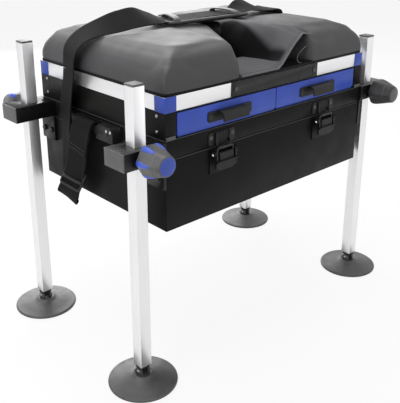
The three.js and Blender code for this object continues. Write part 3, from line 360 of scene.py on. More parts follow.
def ellipse(half_width, half_height, count=16, power=1.0):
    """A closed section round an ellipse; a power under 1 squares it up."""
    angle = np.linspace(0, 2 * math.pi, count, endpoint=False)
    u, v = np.cos(angle), np.sin(angle)
    return np.stack([
        half_width * np.sign(u) * np.abs(u) ** power,
        half_height * np.sign(v) * np.abs(v) ** power,
    ], -1)


def axis_frame(direction):
    """Two unit vectors square to the direction and the direction's own, right handed."""
    w = unit(np.asarray(direction, float))
    helper = np.array([0.0, 0, 1]) if abs(w[2]) < 0.9 else np.array([1.0, 0, 0])
    u = unit(np.cross(helper, w))
    return u, np.cross(w, u), w


def turned(radius, distance, centre, direction, count):
    """Rows of points round an axis: centre + distance * w + radius * (u cos a + v sin a)."""
    u, v, w = axis_frame(direction)
    angle = np.linspace(0, 2 * math.pi, count, endpoint=False)[:, None]
    ring = np.cos(angle) * u + np.sin(angle) * v
    return ring_skin(np.asarray(centre) + distance[..., None] * w + radius[..., None] * ring)


def lathe(profile, centre, direction, count):
    """Turns (radius, distance) pairs round an axis."""
    radius, distance = np.asarray(profile, float).T[..., None]
    return turned(radius, distance, centre, direction, count)


def block(low, high):
    """A six-sided block between two corners, for a piece whose edges a Bevel modifier then rounds."""
    low, high = np.minimum(low, high), np.maximum(low, high)
    outline = np.array([low[:2], (high[0], low[1]), high[:2], (low[0], high[1])])
    grid = np.array([at_height(outline, low[2]), at_height(outline, high[2])])
    skin = grid_skin(grid, wrap_columns=True)
    lids = np.array([[3, 2, 1, 0], [4, 5, 6, 7]])
    return outwards(skin._replace(quads=np.vstack([skin.quads, lids])))


def at_height(points, height):
    """The points with one more coordinate, the same for all."""
    return np.column_stack([points, np.full(len(points), height)])


def rounded_outline(low, high, radii, steps=6):
    """A rectangle between two corners of a plane, counter-clockwise, with an arc at each corner: one radius
    for all, or those of the right top, left top, left bottom and right bottom."""
    radii = np.broadcast_to(radii, 4)
    arcs = []
    for k, (sx, sy) in enumerate(((1, 1), (-1, 1), (-1, -1), (1, -1))):
        angle = np.linspace(k, k + 1, steps) * math.pi / 2
        edge = np.array([high[0] if sx > 0 else low[0], high[1] if sy > 0 else low[1]])
        middle = edge - np.array([sx, sy]) * radii[k]
        arcs.append(middle + radii[k] * np.stack([np.cos(angle), np.sin(angle)], -1))
    return np.vstack(arcs)


def box_outline(radius, steps=6):
    """The box's plan with round corners."""
    return rounded_outline((-HALF_LENGTH, -HALF_DEPTH), (HALF_LENGTH, HALF_DEPTH), radius, steps)


def plate_skin(low, high, radii, out_low, out_high, soft=0.5):
    """A flat plate in (across, up, out): the rounded outline at two depths, with a narrow chamfer in
    front."""
    outline = rounded_outline(low, high, radii)
    middle = (np.array(low) + high) / 2
    half = (np.array(high) - low) / 2
    smaller = middle + (outline - middle) * (1 - soft / half)
    rows = [(outline, out_low), (outline, out_high - soft), (smaller, out_high)]
    return ring_skin(np.array([at_height(*row) for row in rows]))


def band_skin(outer, inner, start, end):
    """A bent wall in (across, up, out): the strip between an outer and an inner line of (out, up) points,
    carried across from start to end."""
    grids = []
    for line in (np.array(outer, float), np.array(inner, float)):
        rows = [np.column_stack([np.full(len(line), x), line[:, 1], line[:, 0]]) for x in (start, end)]
        grids.append(np.array(rows))
    return sheet_skin(*grids)


def on_front(skin, x=0.0):
    """A piece drawn in millimetres across, up and out, set on the box's front face."""
    turn = np.array([[1, 0, 0], [0, 0, -1], [0, 1, 0]]) * MM
    return moved(skin, turn, (x, -HALF_DEPTH, 0))


def put_on_front(name, pieces, x=0.0):
    """A mesh object of pieces drawn on the front, round a middle at x."""
    return put(name, *[on_front(piece, x) for piece in pieces])


def round_edges(obj, width):
    """Rounds every edge sharper than the least bend."""
    bevel = obj.modifiers.new("Rounding", "BEVEL")
    bevel.width = width
    bevel.segments = 2
    bevel.limit_method = "ANGLE"
    bevel.angle_limit = math.radians(LEAST_BEND)
    bevel.harden_normals = True
    return obj


# Finishes


class Finish:
    """A material with its shader, and short ways to add nodes to it."""

    def __init__(self, name, roughness, metallic=0.0, **shader):
        self.material = bpy.data.materials.new(name)
        self.material.use_nodes = True
        self.tree = self.material.node_tree
        self.shader = self.tree.nodes["Principled BSDF"]
        self.shader.inputs["Roughness"].default_value = roughness
        self.shader.inputs["Metallic"].default_value = metallic
        for socket, value in shader.items():
            self.shader.inputs[socket.replace("_", " ")].default_value = value
        self.place = self.tree.nodes.new("ShaderNodeTexCoord")

    def add(self, kind, inputs=None, **settings):
        """A node with its inputs set to values or joined to other nodes' sockets."""
        node = self.tree.nodes.new("ShaderNode" + kind)
        for key, value in settings.items():
            setattr(node, key, value)
        for key, value in (inputs or {}).items():
            if isinstance(value, bpy.types.NodeSocket):
                self.tree.links.new(value, node.inputs[key])
            else:
                node.inputs[key].default_value = value
        return node

    def noise(self, scale, detail=3.0, stretch=(1, 1, 1)):
        """Noise at a scale per metre, drawn finer along an axis by its stretch."""
        spot = self.add("Mapping", {"Vector": self.place.outputs["Object"], "Scale": stretch}).outputs[0]
        return self.add("TexNoise", {"Vector": spot, "Scale": scale, "Detail": detail}).outputs["Fac"]

    def cells(self, scale, feature="F1"):
        inputs = {"Vector": self.place.outputs["Object"], "Scale": scale}
        return self.add("TexVoronoi", inputs, feature=feature).outputs["Distance"]

    def ramp(self, value, low, high, to_low=0.0, to_high=1.0):
        """The value between low and high spread over to_low and to_high."""
        inputs = {"Value": value, "From Min": low, "From Max": high, "To Min": to_low, "To Max": to_high}
        return self.add("MapRange", inputs).outputs["Result"]

    def math(self, operation, a, b=0.0):
        return self.add("Math", {0: a, 1: b}, operation=operation).outputs[0]

    def colour(self, low, high, factor):
        """Blends two colours into the base colour."""
        node = self.add("Mix", {"Factor": factor}, data_type="RGBA")
        node.inputs[6].default_value = (*low, 1)
        node.inputs[7].default_value = (*high, 1)
        self.tree.links.new(node.outputs[2], self.shader.inputs["Base Color"])
        return node.outputs[2]

    def mottle(self, colour, dark, light, value, low=0.35, high=0.7):
        """Spreads darker and lighter shades of a colour over a value between low and high."""
        return self.colour(shade(colour, dark), shade(colour, light), self.ramp(value, low, high))

    def rough(self, factor, low, high):
        self.tree.links.new(self.ramp(factor, 0.3, 0.7, low, high), self.shader.inputs["Roughness"])

    def bump(self, height, distance, strength=1.0):
        inputs = {"Height": height, "Distance": distance, "Strength": strength}
        if self.shader.inputs["Normal"].is_linked:
            inputs["Normal"] = self.shader.inputs["Normal"].links[0].from_socket
        node = self.add("Bump", inputs)
        self.tree.links.new(node.outputs[0], self.shader.inputs["Normal"])


def shade(colour, factor):
    """A colour made lighter or darker by a factor, with no channel over one."""
    return tuple(min(value * factor, 1.0) for value in colour)


def coat_finish(colour, name="black_coat", specular=0.1):
    """Satin powder coat: fine orange peel, faint cloudiness and a little dust."""
    finish = Finish(name, 0.42, Specular_IOR_Level=specular)
    finish.mottle(colour, 0.8, 1.4, finish.noise(14, 5), high=0.75)
    finish.rough(finish.noise(45, 4), 0.36, 0.5)
    finish.bump(finish.noise(900, 2), 0.00012, 0.5)
    return finish


def moulded_finish(name, colour, roughness, specular, grain=1500):
    """Moulded plastic or rubber: a fine sparked grain with slightly uneven gloss."""
    finish = Finish(name, roughness, Specular_IOR_Level=specular)
    finish.mottle(colour, 0.85, 1.25, finish.noise(30, 4))
    finish.rough(finish.noise(80, 3), roughness - 0.06, roughness + 0.08)
    finish.bump(finish.cells(grain), 0.00015, 0.35)
    return finish


def blue_finish(colour):
    """Blue coated sheet: even colour, soft gloss and a faint rolling grain along the length."""
    finish = Finish("blue_paint", 0.35, Specular_IOR_Level=0.28)
    finish.mottle(colour, 0.9, 1.12, finish.noise(18, 3))
    grain = finish.noise(1, 3, stretch=(30, 900, 900))
    finish.rough(grain, 0.3, 0.42)
    finish.bump(grain, 0.00004, 0.4)
    return finish


def metal_finish(name, colour, stretch, roughness=0.34, metallic=0.85):
    """Bright metal with fine lines drawn along one direction."""
    finish = Finish(name, roughness, metallic)
    lines, smear = finish.noise(1, 4, stretch=stretch), finish.noise(10, 4)
    both = finish.math("ADD", finish.math("MULTIPLY", lines, 0.6), finish.math("MULTIPLY", smear, 0.4))
    finish.mottle(colour, 0.93, 1, both, high=0.62)
    finish.rough(lines, roughness - 0.03, roughness + 0.06)
    finish.bump(lines, 0.00003, 0.3)
    return finish


def vinyl_finish(name, colour, specular=0.5, shaded_fold=False):
    """Soft vinyl: shallow leather grain, broad sheen and slightly uneven colour. With shaded_fold, the colour
    is painted nearly black by the piece's own painted_fold_shade attribute: painted shade in the cover's fold."""
    finish = Finish(name, 0.42, Specular_IOR_Level=specular, Sheen_Weight=0.02, Sheen_Roughness=0.5)
    mixed = finish.mottle(colour, 0.85, 1.2, finish.noise(9, 4))
    if shaded_fold:
        painted_fold_shade = finish.add("Attribute", attribute_name="painted_fold_shade").outputs["Fac"]
        # Painted shade: blends the colour towards near black where the piece's attribute marks the fold.
        fold = finish.add("Mix", {"Factor": painted_fold_shade, 6: mixed}, data_type="RGBA")
        fold.inputs[7].default_value = (*shade(colour, 0.02), 1)
        finish.tree.links.new(fold.outputs[2], finish.shader.inputs["Base Color"])
    finish.rough(finish.noise(30, 4), 0.44, 0.56)
    finish.bump(finish.cells(620, "SMOOTH_F1"), 0.0003, 0.22)
    finish.bump(finish.noise(120, 3), 0.0003, 0.12)
    return finish


WEAVE_PITCHES = (2.2 * MM, 1.7 * MM)
BOUND_EDGE = (20.5 * MM, 22.5 * MM)


def webbing_finish(colour):
    """Flat woven webbing: ribs across the width, crossed by fine warp yarns, and bound edges."""
    finish = Finish("webbing", 0.65, Specular_IOR_Level=0.08, Sheen_Weight=0.01, Sheen_Roughness=0.4)
    flat = finish.add("SeparateXYZ", {0: finish.place.outputs["UV"]})
    waves = [finish.math("SINE", finish.math("MULTIPLY", flat.outputs[axis], 2 * math.pi / pitch))
             for axis, pitch in enumerate(WEAVE_PITCHES)]
    height = finish.ramp(finish.math("MULTIPLY", *waves), -1.0, 1.0)
    edge = finish.ramp(finish.math("ABSOLUTE", flat.outputs[1]), *BOUND_EDGE)
    tone = finish.math("ADD", finish.math("MULTIPLY", height, 0.5), finish.math("MULTIPLY", edge, 0.5))
    finish.colour(shade(colour, 0.75), shade(colour, 2.2), tone)
    finish.bump(height, 0.0004, 0.6)
    finish.bump(finish.noise(700, 2), 0.0002, 0.3)
    return finish


def wood_finish(colour):
    """Birch plywood: long grain with plies that show at the edges."""
    finish = Finish("plywood", 0.6, Specular_IOR_Level=0.3)
    grain = finish.noise(1, 5, stretch=(12, 260, 1600))
    finish.mottle(colour, 0.6, 1.15, grain, low=0.3)
    finish.bump(grain, 0.0002, 0.4)
    return finish


FINISHES = {}


def make_finishes():
    """Every finish by its name, with two drawing directions for the bright metal."""
    tint = colours()
    lengthwise, upright = (25, 25, 900), (900, 900, 14)
    made = {
        "black_coat": coat_finish(tint.coat),
        "black_plastic": moulded_finish("black_plastic", tint.plastic, 0.4, 0.25),
        "gloss_plastic": moulded_finish("gloss_plastic", shade(tint.plastic, 0.6), 0.3, 0.22),
        "dark_plastic": moulded_finish("dark_plastic", tint.dark_grey, 0.4, 0.3),
        "grey_plastic": moulded_finish("grey_plastic", tint.grey, 0.42, 0.45),
        "foot_rubber": moulded_finish("foot_rubber", tint.rubber, 0.4, 0.5, grain=1100),
        "blue_paint": blue_finish(tint.blue),
        "blue_plastic": moulded_finish("blue_plastic", tint.blue, 0.36, 0.45),
        "bright_aluminium": metal_finish("bright_aluminium", tint.aluminium, lengthwise),
        "drawn_tube": metal_finish("drawn_tube", tint.aluminium, upright),
        "steel": metal_finish("steel", tint.steel, lengthwise, 0.3, 1.0),
        "vinyl": vinyl_finish("vinyl", tint.vinyl),
        # Painted highlight: the cover's vinyl is a lighter copy of the cushions' so that its crest looks lit;
        # it also carries the painted fold shade.
        "cover_vinyl_lit_and_shaded": vinyl_finish("cover_vinyl_lit_and_shaded", shade(tint.vinyl, 2.6), 0.05, shaded_fold=True),
        # Painted shade: a near-black copy of the vinyl for the lining under the valley and the band at the
        # cushions' foot, where shade falls.
        "shade_black_vinyl": vinyl_finish("shade_black_vinyl", shade(tint.vinyl, 0.1), 0.1),
        # Painted highlight: a light copy of the vinyl for the hem's binding, standing in for light along its
        # rounded edge.
        "binding_highlight_vinyl": vinyl_finish("binding_highlight_vinyl", shade(tint.vinyl, 3.5), 0.2),
        # Painted highlight: a light copy of the coat for the lines along the sheet's folded edges.
        "edge_highlight_coat": coat_finish(shade(tint.coat, 9), "edge_highlight_coat", 0.4),
        "webbing": webbing_finish(tint.webbing),
        "thread": moulded_finish("thread", (0.05, 0.05, 0.052), 0.6, 0.3, grain=3000),
        "plywood": wood_finish(tint.wood),
    }
    for name, finish in made.items():
        FINISHES[name] = finish.material


# Camera, lamps and floor

CAMERA_PLACE = (-0.79015, -0.84398, 0.69795)
CAMERA_TURN = (70.452, -0.102, -42.486)
CAMERA_FOCUS = 669.29
PHOTO_WIDTH, PHOTO_HEIGHT = 400, 403
PHOTO_CENTRE = (198.8, 145.19)
SENSOR = 36.0
LAMPS = {
    "lamp_back": {"place": (0.7, 1.9, 1.15), "size": 2.2, "power": 36},
    "lamp_top": {"place": (-0.1, 0.35, 2.2), "size": 1.8, "power": 26},
    "lamp_left": {"place": (-1.9, -0.2, 1.0), "size": 1.2, "power": 11},
    "lamp_front": {"place": (0.6, -1.8, 0.9), "size": 1.4, "power": 3},
}
LAMP_AIM = (0, 0, 0.3)
FLOOR_HALF, FLOOR_GLOW = 12.0, 0.87


def aim_camera():
    data = bpy.data.cameras.new("view")
    data.sensor_width = SENSOR
    data.lens = CAMERA_FOCUS / PHOTO_HEIGHT * SENSOR
    data.shift_x = (PHOTO_WIDTH / 2 - PHOTO_CENTRE[0]) / PHOTO_HEIGHT
    data.shift_y = (PHOTO_CENTRE[1] - PHOTO_HEIGHT / 2) / PHOTO_HEIGHT
    data.clip_start, data.clip_end = 0.05, 50
    camera = bpy.data.objects.new("view", data)
    camera.location = CAMERA_PLACE
    camera.rotation_euler = Euler([math.radians(angle) for angle in CAMERA_TURN])
    bpy.context.scene.camera = linked(camera)


def hang_lamp(name, place, size, power):
    data = bpy.data.lights.new(name, "AREA")
    data.shape = "DISK"
    data.size = size
    data.energy = power
    lamp = bpy.data.objects.new(name, data)
    lamp.location = place
    lamp.rotation_euler = (Vector(LAMP_AIM) - Vector(place)).to_track_quat("-Z", "Y").to_euler()
    linked(lamp)


def seen_directly(tree):
    """One where a camera, glossy or transmission ray looks, so that they all meet the same background."""
    path = tree.nodes.new("ShaderNodeLightPath")
    total = path.outputs["Is Camera Ray"]
    for ray in ("Is Glossy Ray", "Is Transmission Ray"):
        node = tree.nodes.new("ShaderNodeMath")
        node.operation = "MAXIMUM"
        tree.links.new(total, node.inputs[0])
        tree.links.new(path.outputs[ray], node.inputs[1])
        total = node.outputs[0]
    return total


def light_world():
    """A plain pale sky, white where it is seen and dimmer as a light."""
    world = bpy.data.worlds.new("studio")
    bpy.context.scene.world = world
    world.use_nodes = True
    tree = world.node_tree
    background = tree.nodes["Background"]
    background.inputs["Color"].default_value = (1, 1, 1, 1)
    strength = tree.nodes.new("ShaderNodeMapRange")
    strength.inputs["To Min"].default_value = 0.4
    strength.inputs["To Max"].default_value = 1.0
    tree.links.new(seen_directly(tree), strength.inputs["Value"])
    tree.links.new(strength.outputs["Result"], background.inputs["Strength"])


def lay_floor():
    """A wide pale floor at the feet's level that shows white with the object's soft shadow on it."""
    square = np.array([[-1, -1, 0], [1, -1, 0], [1, 1, 0], [-1, 1, 0]]) * FLOOR_HALF
    skin = Skin(square, np.array([[0, 1, 2, 3]]), np.zeros((0, 3), int), square[:, :2])
    floor = put("studio_floor", skin, smooth=False)
    finish = Finish("studio_floor", 0.9, Base_Color=(0.9, 0.9, 0.9, 1), Specular_IOR_Level=0.0)
    share = finish.math("MULTIPLY", seen_directly(finish.tree), FLOOR_GLOW)
    glow = finish.add("Emission").outputs[0]
    mix = finish.add("MixShader", {0: share, 1: finish.shader.outputs[0], 2: glow})
    finish.tree.links.new(mix.outputs[0], finish.tree.nodes["Material Output"].inputs["Surface"])
    floor.data.materials.append(finish.material)


# Sheet metal and mouldings of the frame, with rounded edges

ROUND_WIDTH = {"lower_box": 1.4 * MM, "rim_tray": 1.2 * MM, "arm": 1.3 * MM, "leg": 1 * MM, "latch": 0.5 * MM}
OTHER_FINISH = {
    "leg_front": "drawn_tube", "leg_back": "drawn_tube", "arm_": "gloss_plastic", "leg_cap": "grey_plastic",
    "latch_base": "black_coat",
}
FIRM_PREFIXES = (
    "lower_box", "rim_tray", "cabinet_shell", "tray_", "arm_", "leg_", "drawer_left", "drawer_right",
    "latch_base", "strap_bracket", "foot_stem", "seat_board",
)


def by_prefix(table, node, otherwise):
    """The table's value for the first prefix that the node's name starts with."""
    return next((value for prefix, value in table.items() if node.startswith(prefix)), otherwise)


def dressed_copy(node):
    """A merged copy of a frame node whose edges are rounded, riding where the node does."""
    source = frame["nodes"][node]
    mesh = source.data.copy()
    shade_smooth(mesh)
    obj = linked(bpy.data.objects.new(node + "_dressed", mesh))
    weld = obj.modifiers.new("Weld", "WELD")
    weld.merge_threshold = 1e-6
    flat = obj.modifiers.new("Flats", "DECIMATE")
    flat.decimate_type = "DISSOLVE"
    flat.angle_limit = math.radians(1)
    round_edges(obj, by_prefix(ROUND_WIDTH, node, sizes().edge_round))
    settle(obj, source["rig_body"], SLOTS[node], node, material=by_prefix(OTHER_FINISH, node, SLOTS[node]))


def dress_frame():
    """Rounded copies for the firm nodes, and plain finishes on the rest of the frame."""
    for node, obj in frame["nodes"].items():
        obj.data.materials.clear()
        obj.data.materials.append(FINISHES[SLOTS[node]])
        if node.startswith(FIRM_PREFIXES):
            dressed_copy(node)


# Cushions

PAD_ROUND = {"end": 58 * MM, "front": 42 * MM, "back": 24 * MM, "valley": 19 * MM, "seam": 4 * MM}
PAD_SQUARE = 2.3
SEAM_X, SEAM_GAP = 6 * MM, 1.2 * MM
VALLEY_LEFT, VALLEY_RIGHT = -82 * MM, 87 * MM
VALLEY_END_LEFT, VALLEY_END_RIGHT = -25 * MM, 5 * MM
PAD_BEND, PAD_INSET = 7 * MM, 0.8 * MM
PAD_WALL, PAD_HEIGHT, PAD_CROWN = 9 * MM, 56 * MM, 4 * MM
PAD_WALL_TOP, PAD_TOP = LID_BOTTOM + PAD_WALL, LID_BOTTOM + PAD_HEIGHT
SEAT_TOP = PAD_TOP + PAD_CROWN
CORNER_STEPS = 8
PAD_LEVELS = 14
PAD_HELD, PAD_SHOULDER, PAD_UPPER = 4 * MM, 30 * MM, 40 * MM
PAD_SLACK = 3.5 * MM


def pad_outline(place):
    """Corners of a cushion's plan, counter-clockwise: x, y, corner radius, and the rounding of the edge that
    starts there."""
    x, y = HALF_LENGTH, HALF_DEPTH
    end, front, back, valley, seam = PAD_ROUND.values()
    if place == "left":
        return np.array([
            (-x, -y, PAD_BEND, front),
            (VALLEY_LEFT, -y, PAD_BEND, valley),
            (SEAM_X - SEAM_GAP, VALLEY_END_LEFT, PAD_BEND, seam),
            (SEAM_X - SEAM_GAP, y, seam, back),
            (-x, y, PAD_BEND, end),
        ])
    return np.array([
        (VALLEY_RIGHT, -y, PAD_BEND, front),
        (x, -y, PAD_BEND, end),
        (x, y, PAD_BEND, back),
        (SEAM_X + SEAM_GAP, y, seam, seam),
        (SEAM_X + SEAM_GAP, VALLEY_END_RIGHT, PAD_BEND, valley),
    ])


def pad_edges(outline):
    """Inward normals of the edges and their distances from the origin."""
    ahead = unit(np.roll(outline[:, :2], -1, 0) - outline[:, :2])
    normal = np.stack([-ahead[:, 1], ahead[:, 0]], -1)
    return normal, (normal * outline[:, :2]).sum(-1)


def pad_ring(outline, share, extra, z):
    """The outline moved in by a share of each edge's own rounding, with an arc at every corner."""
    normal, reach = pad_edges(outline)
    before, after = np.roll(normal, 1, 0), normal
    rounding = outline[:, 3]
    radius = outline[:, 2] + (np.minimum(np.roll(rounding, 1), rounding) / 2 + 4 * MM) * share
    a = np.roll(reach + rounding * share, 1) + extra + radius
    b = reach + rounding * share + extra + radius
    det = before[:, 0] * after[:, 1] - before[:, 1] * after[:, 0]
    centre = np.stack([
        (a * after[:, 1] - b * before[:, 1]) / det,
        (b * before[:, 0] - a * after[:, 0]) / det,
    ], -1)
    start = np.arctan2(-before[:, 1], -before[:, 0])
    turn = (np.arctan2(-after[:, 1], -after[:, 0]) - start) % (2 * math.pi)
    angle = start[:, None] + turn[:, None] * np.linspace(0, 1, CORNER_STEPS)
    ring = centre[:, None] + radius[:, None, None] * np.stack([np.cos(angle), np.sin(angle)], -1)
    return at_height(ring.reshape(-1, 2), z)


def pad_skin(place):
    """A wall, a squared quarter ellipse up from it on every side, whose two shares' powers add up to one, and
    a low crown, all closed underneath."""
    outline = pad_outline(place)
    rings = [pad_ring(outline, 0, PAD_INSET, LID_BOTTOM + up) for up in (0.4 * MM, PAD_WALL / 2)]
    for angle in np.linspace(0, math.pi / 2, PAD_LEVELS):
        z = PAD_WALL_TOP + (PAD_TOP - PAD_INSET - PAD_WALL_TOP) * math.sin(angle) ** (2 / PAD_SQUARE)
        rings.append(pad_ring(outline, 1 - max(math.cos(angle), 0) ** (2 / PAD_SQUARE), PAD_INSET, z))
    edge = rings[-1]
    middle = edge[:, :2].mean(0)
    for share in np.linspace(0.9, 0.1, 9):
        height = edge[0, 2] + (PAD_CROWN - PAD_INSET) * (1 - share**2)
        rings.append(at_height(middle + (edge[:, :2] - middle) * share, height))
    return ring_skin(np.array(rings))


def pad_height(place, x, y):
    """Height of the plain cushion over points of the seat: the lowest of its edges' curves, crowned."""
    outline = pad_outline(place)
    normal, reach = pad_edges(outline)
    middle = pad_ring(outline, 1, 0, 0)[:, :2].mean(0)
    inside = x[..., None] * normal[:, 0] + y[..., None] * normal[:, 1] - reach
    whole = normal @ middle - reach - outline[:, 3]
    share = np.clip((inside / outline[:, 3]).min(-1), 0, 1)
    outward = np.clip(1 - (inside - outline[:, 3]) / whole, 0, 1)
    outward = np.minimum((outward**4).sum(-1) ** 0.25, 1)
    curve = (1 - (1 - share) ** PAD_SQUARE) ** (1 / PAD_SQUARE)
    height = PAD_WALL_TOP + (PAD_TOP - PAD_WALL_TOP) * curve + PAD_CROWN * (1 - outward**2)
    return np.where(inside.min(-1) > 0, height, 0)


def evaluated(obj):
    """The piece with its modifiers' effect."""
    return obj.evaluated_get(bpy.context.evaluated_depsgraph_get())


def remesh(obj):
    """An even mesh in place of the rings, relaxed so that the voxels' steps don't show."""
    mesher = obj.modifiers.new("Even mesh", "REMESH")
    mesher.mode = "VOXEL"
    mesher.voxel_size = sizes().voxel
    mesher.use_smooth_shade = True
    soften = obj.modifiers.new("Relax", "SMOOTH")
    soften.factor = 0.5
    soften.iterations = 6
    mesh = bpy.data.meshes.new_from_object(evaluated(obj))
    obj.modifiers.clear()
    obj.data = mesh


PUFF_FRAMES = 20


def puff(obj):
    """Blows the closed cover up with cloth simulation, and gives its points, each moved no further than the
    puff limit."""
    rest = read_points(obj.data)
    group = obj.vertex_groups.new(name="held")
    group.add(np.flatnonzero(rest[:, 2] < LID_BOTTOM + PAD_HELD).tolist(), 1.0, "REPLACE")
    cloth = obj.modifiers.new("Cloth", "CLOTH")
    cloth.settings.use_pressure = True
    cloth.settings.uniform_pressure_force = 4
    cloth.settings.vertex_group_mass = "held"
    cloth.settings.effector_weights.gravity = 0
    cloth.point_cache.frame_start, cloth.point_cache.frame_end = 1, PUFF_FRAMES
    for number in range(1, PUFF_FRAMES + 1):
        bpy.context.scene.frame_set(number)
    step = read_points(evaluated(obj).data) - rest
    bpy.context.scene.frame_set(1)
    obj.modifiers.clear()
    step = evened(obj.data, step)
    reach = np.linalg.norm(step, axis=1, keepdims=True)
    return rest + step * np.minimum(1, sizes().puff_limit / np.maximum(reach, 1e-9))


def evened(mesh, values, rounds=24):
    """Each point's value averaged with its neighbours' along the mesh's edges, several times over."""
    edges = np.empty(len(mesh.edges) * 2, np.int32)
    mesh.edges.foreach_get("vertices", edges)
    one, other = edges[::2], edges[1::2]
    count = len(values)
    share = 1 + np.bincount(one, minlength=count) + np.bincount(other, minlength=count)
    for _ in range(rounds):
        sums = [column + np.bincount(one, column[other], count) + np.bincount(other, column[one], count)
                for column in values.T]
        values = np.stack(sums, -1) / share[:, None]
    return values


CREASE_WIDTH, CREASE_HEIGHT = 3.2 * MM, 1.3 * MM


def corner_crease(points):
    """Folded cover at the outer corners: a narrow ridge on the corner's diagonal that fades towards the
    top."""
    raised = points.copy()
    up = points[:, 2] - LID_BOTTOM
    fade = (1 - smooth_step((up - 12 * MM) / (34 * MM))) * smooth_step(up / (6 * MM))
    for sx, sy in CORNERS.values():
        inward_x = HALF_LENGTH - sx * points[:, 0]
        inward_y = HALF_DEPTH - sy * points[:, 1]
        off = (inward_x / PAD_ROUND["end"] - inward_y / PAD_ROUND["front" if sy < 0 else "back"]) * 40 * MM
        near = np.exp(-((off / CREASE_WIDTH) ** 2)) * (np.maximum(inward_x, inward_y) < 60 * MM)
        raised[:, :2] += (CREASE_HEIGHT * near * fade)[:, None] * [sx, sy]
    return raised


def make_cushion(place):
    """One padded cushion: its plain form, an even mesh, the stuffing's push, and then creases and dents."""
    obj = put("cushion_" + place + "_cover", pad_skin(place))
    remesh(obj)
    points = read_points(obj.data)
    x, y, z = points.T
    plain = pad_height(place, x, y)
    on_top = smooth_step((z - LID_BOTTOM - PAD_UPPER) / (8 * MM)) * (plain > LID_BOTTOM + PAD_UPPER)
    z += (plain - PAD_INSET / 2 - z) * on_top
    write_points(obj.data, points)
    points = puff(obj)
    x, y, z = points.T
    side = SIDES[place]
    seam = SEAM_X + side * 0.5 * MM
    x[:] = np.where(side * (seam - x) > 0, seam, x)
    z[:] = np.maximum(z, LID_BOTTOM + 0.2 * MM)
    plain = pad_height(place, x, y)
    capped = (z > LID_BOTTOM + PAD_SHOULDER) & (plain > 0)
    z[:] = np.where(capped, np.minimum(z, plain + PAD_SLACK * clear_of_covers(x, y)), z)
    write_points(obj.data, corner_crease(points))
    shade_smooth(obj.data)
    finer = obj.modifiers.new("Finer", "SUBSURF")
    finer.levels = finer.render_levels = 1
    settle(obj, "lid", "vinyl", "cushion_" + place)


COVER_MARGIN, COVER_FADE = 12 * MM, 8 * MM
STRAP_MARGIN, STRAP_FADE = 34 * MM, 10 * MM


def clear_of_covers(x, y):
    """One on the open parts of the cushions, and zero where the cover, strap or shoulder pad lies on them."""
    insides = (FLAP_BACK - y, x - VALLEY_LEFT, VALLEY_RIGHT + 4 * MM - x)
    under_cover = np.prod([smooth_step((inside + COVER_MARGIN) / COVER_FADE) for inside in insides], axis=0)
    off = np.abs(y - np.interp(x, *strap_line()))
    under_strap = 1 - smooth_step((off - STRAP_MARGIN) / STRAP_FADE)
    return 1 - np.maximum(under_cover, under_strap)


# Loose cover over the valley between the cushions

FLAP_BACK, FLAP_GAP, FLAP_HEM = 40 * MM, 0.5 * MM, 4.2 * MM
FLAP_ASIDE, FLAP_LANDING, FLAP_OVERLAP = 1.6 * MM, 8 * MM, 34 * MM
FLAP_SETBACK, SETBACK_BEFORE, SETBACK_SPAN = 12 * MM, 18 * MM, 36 * MM
FOOT_FRONT, FOOT_BEND = 2 * MM, 6 * MM
RIDGE_Y, RIDGE_TURN, RIDGE_SLANT, RIDGE_LEAST = -94 * MM, -4 * MM, 3.4, 8 * MM
HUMP_HEIGHT, HUMP_BEHIND = 8 * MM, 24 * MM
HUMP_FROM, HUMP_SPAN = 6 * MM, 12 * MM
CREST_FRONT, CREST_BACK = 66 * MM, 42 * MM
CREST_PROUD, CREST_DROP, CREST_SAG = 0.6 * MM, 9 * MM, 5 * MM
SHADE_FROM, SHADE_SPAN, SHADE_SHIFT, SHADE_EDGE = 26 * MM, 9 * MM, 6 * MM, 6 * MM
WALL_POWERS = ((0, 0.15, 0.3, 0.47, 0.7, 0.9, 1), (1.45, 1.9, 2.5, 1.6, 0.65, 0.3, 0.3))
FLAP_ROWS, FLAP_COLUMNS = 130, 170


def smooth_max(a, b, blend):
    """The higher of two surfaces, with the line between them rounded."""
    return (a + b + np.sqrt((a - b) ** 2 + blend**2)) / 2


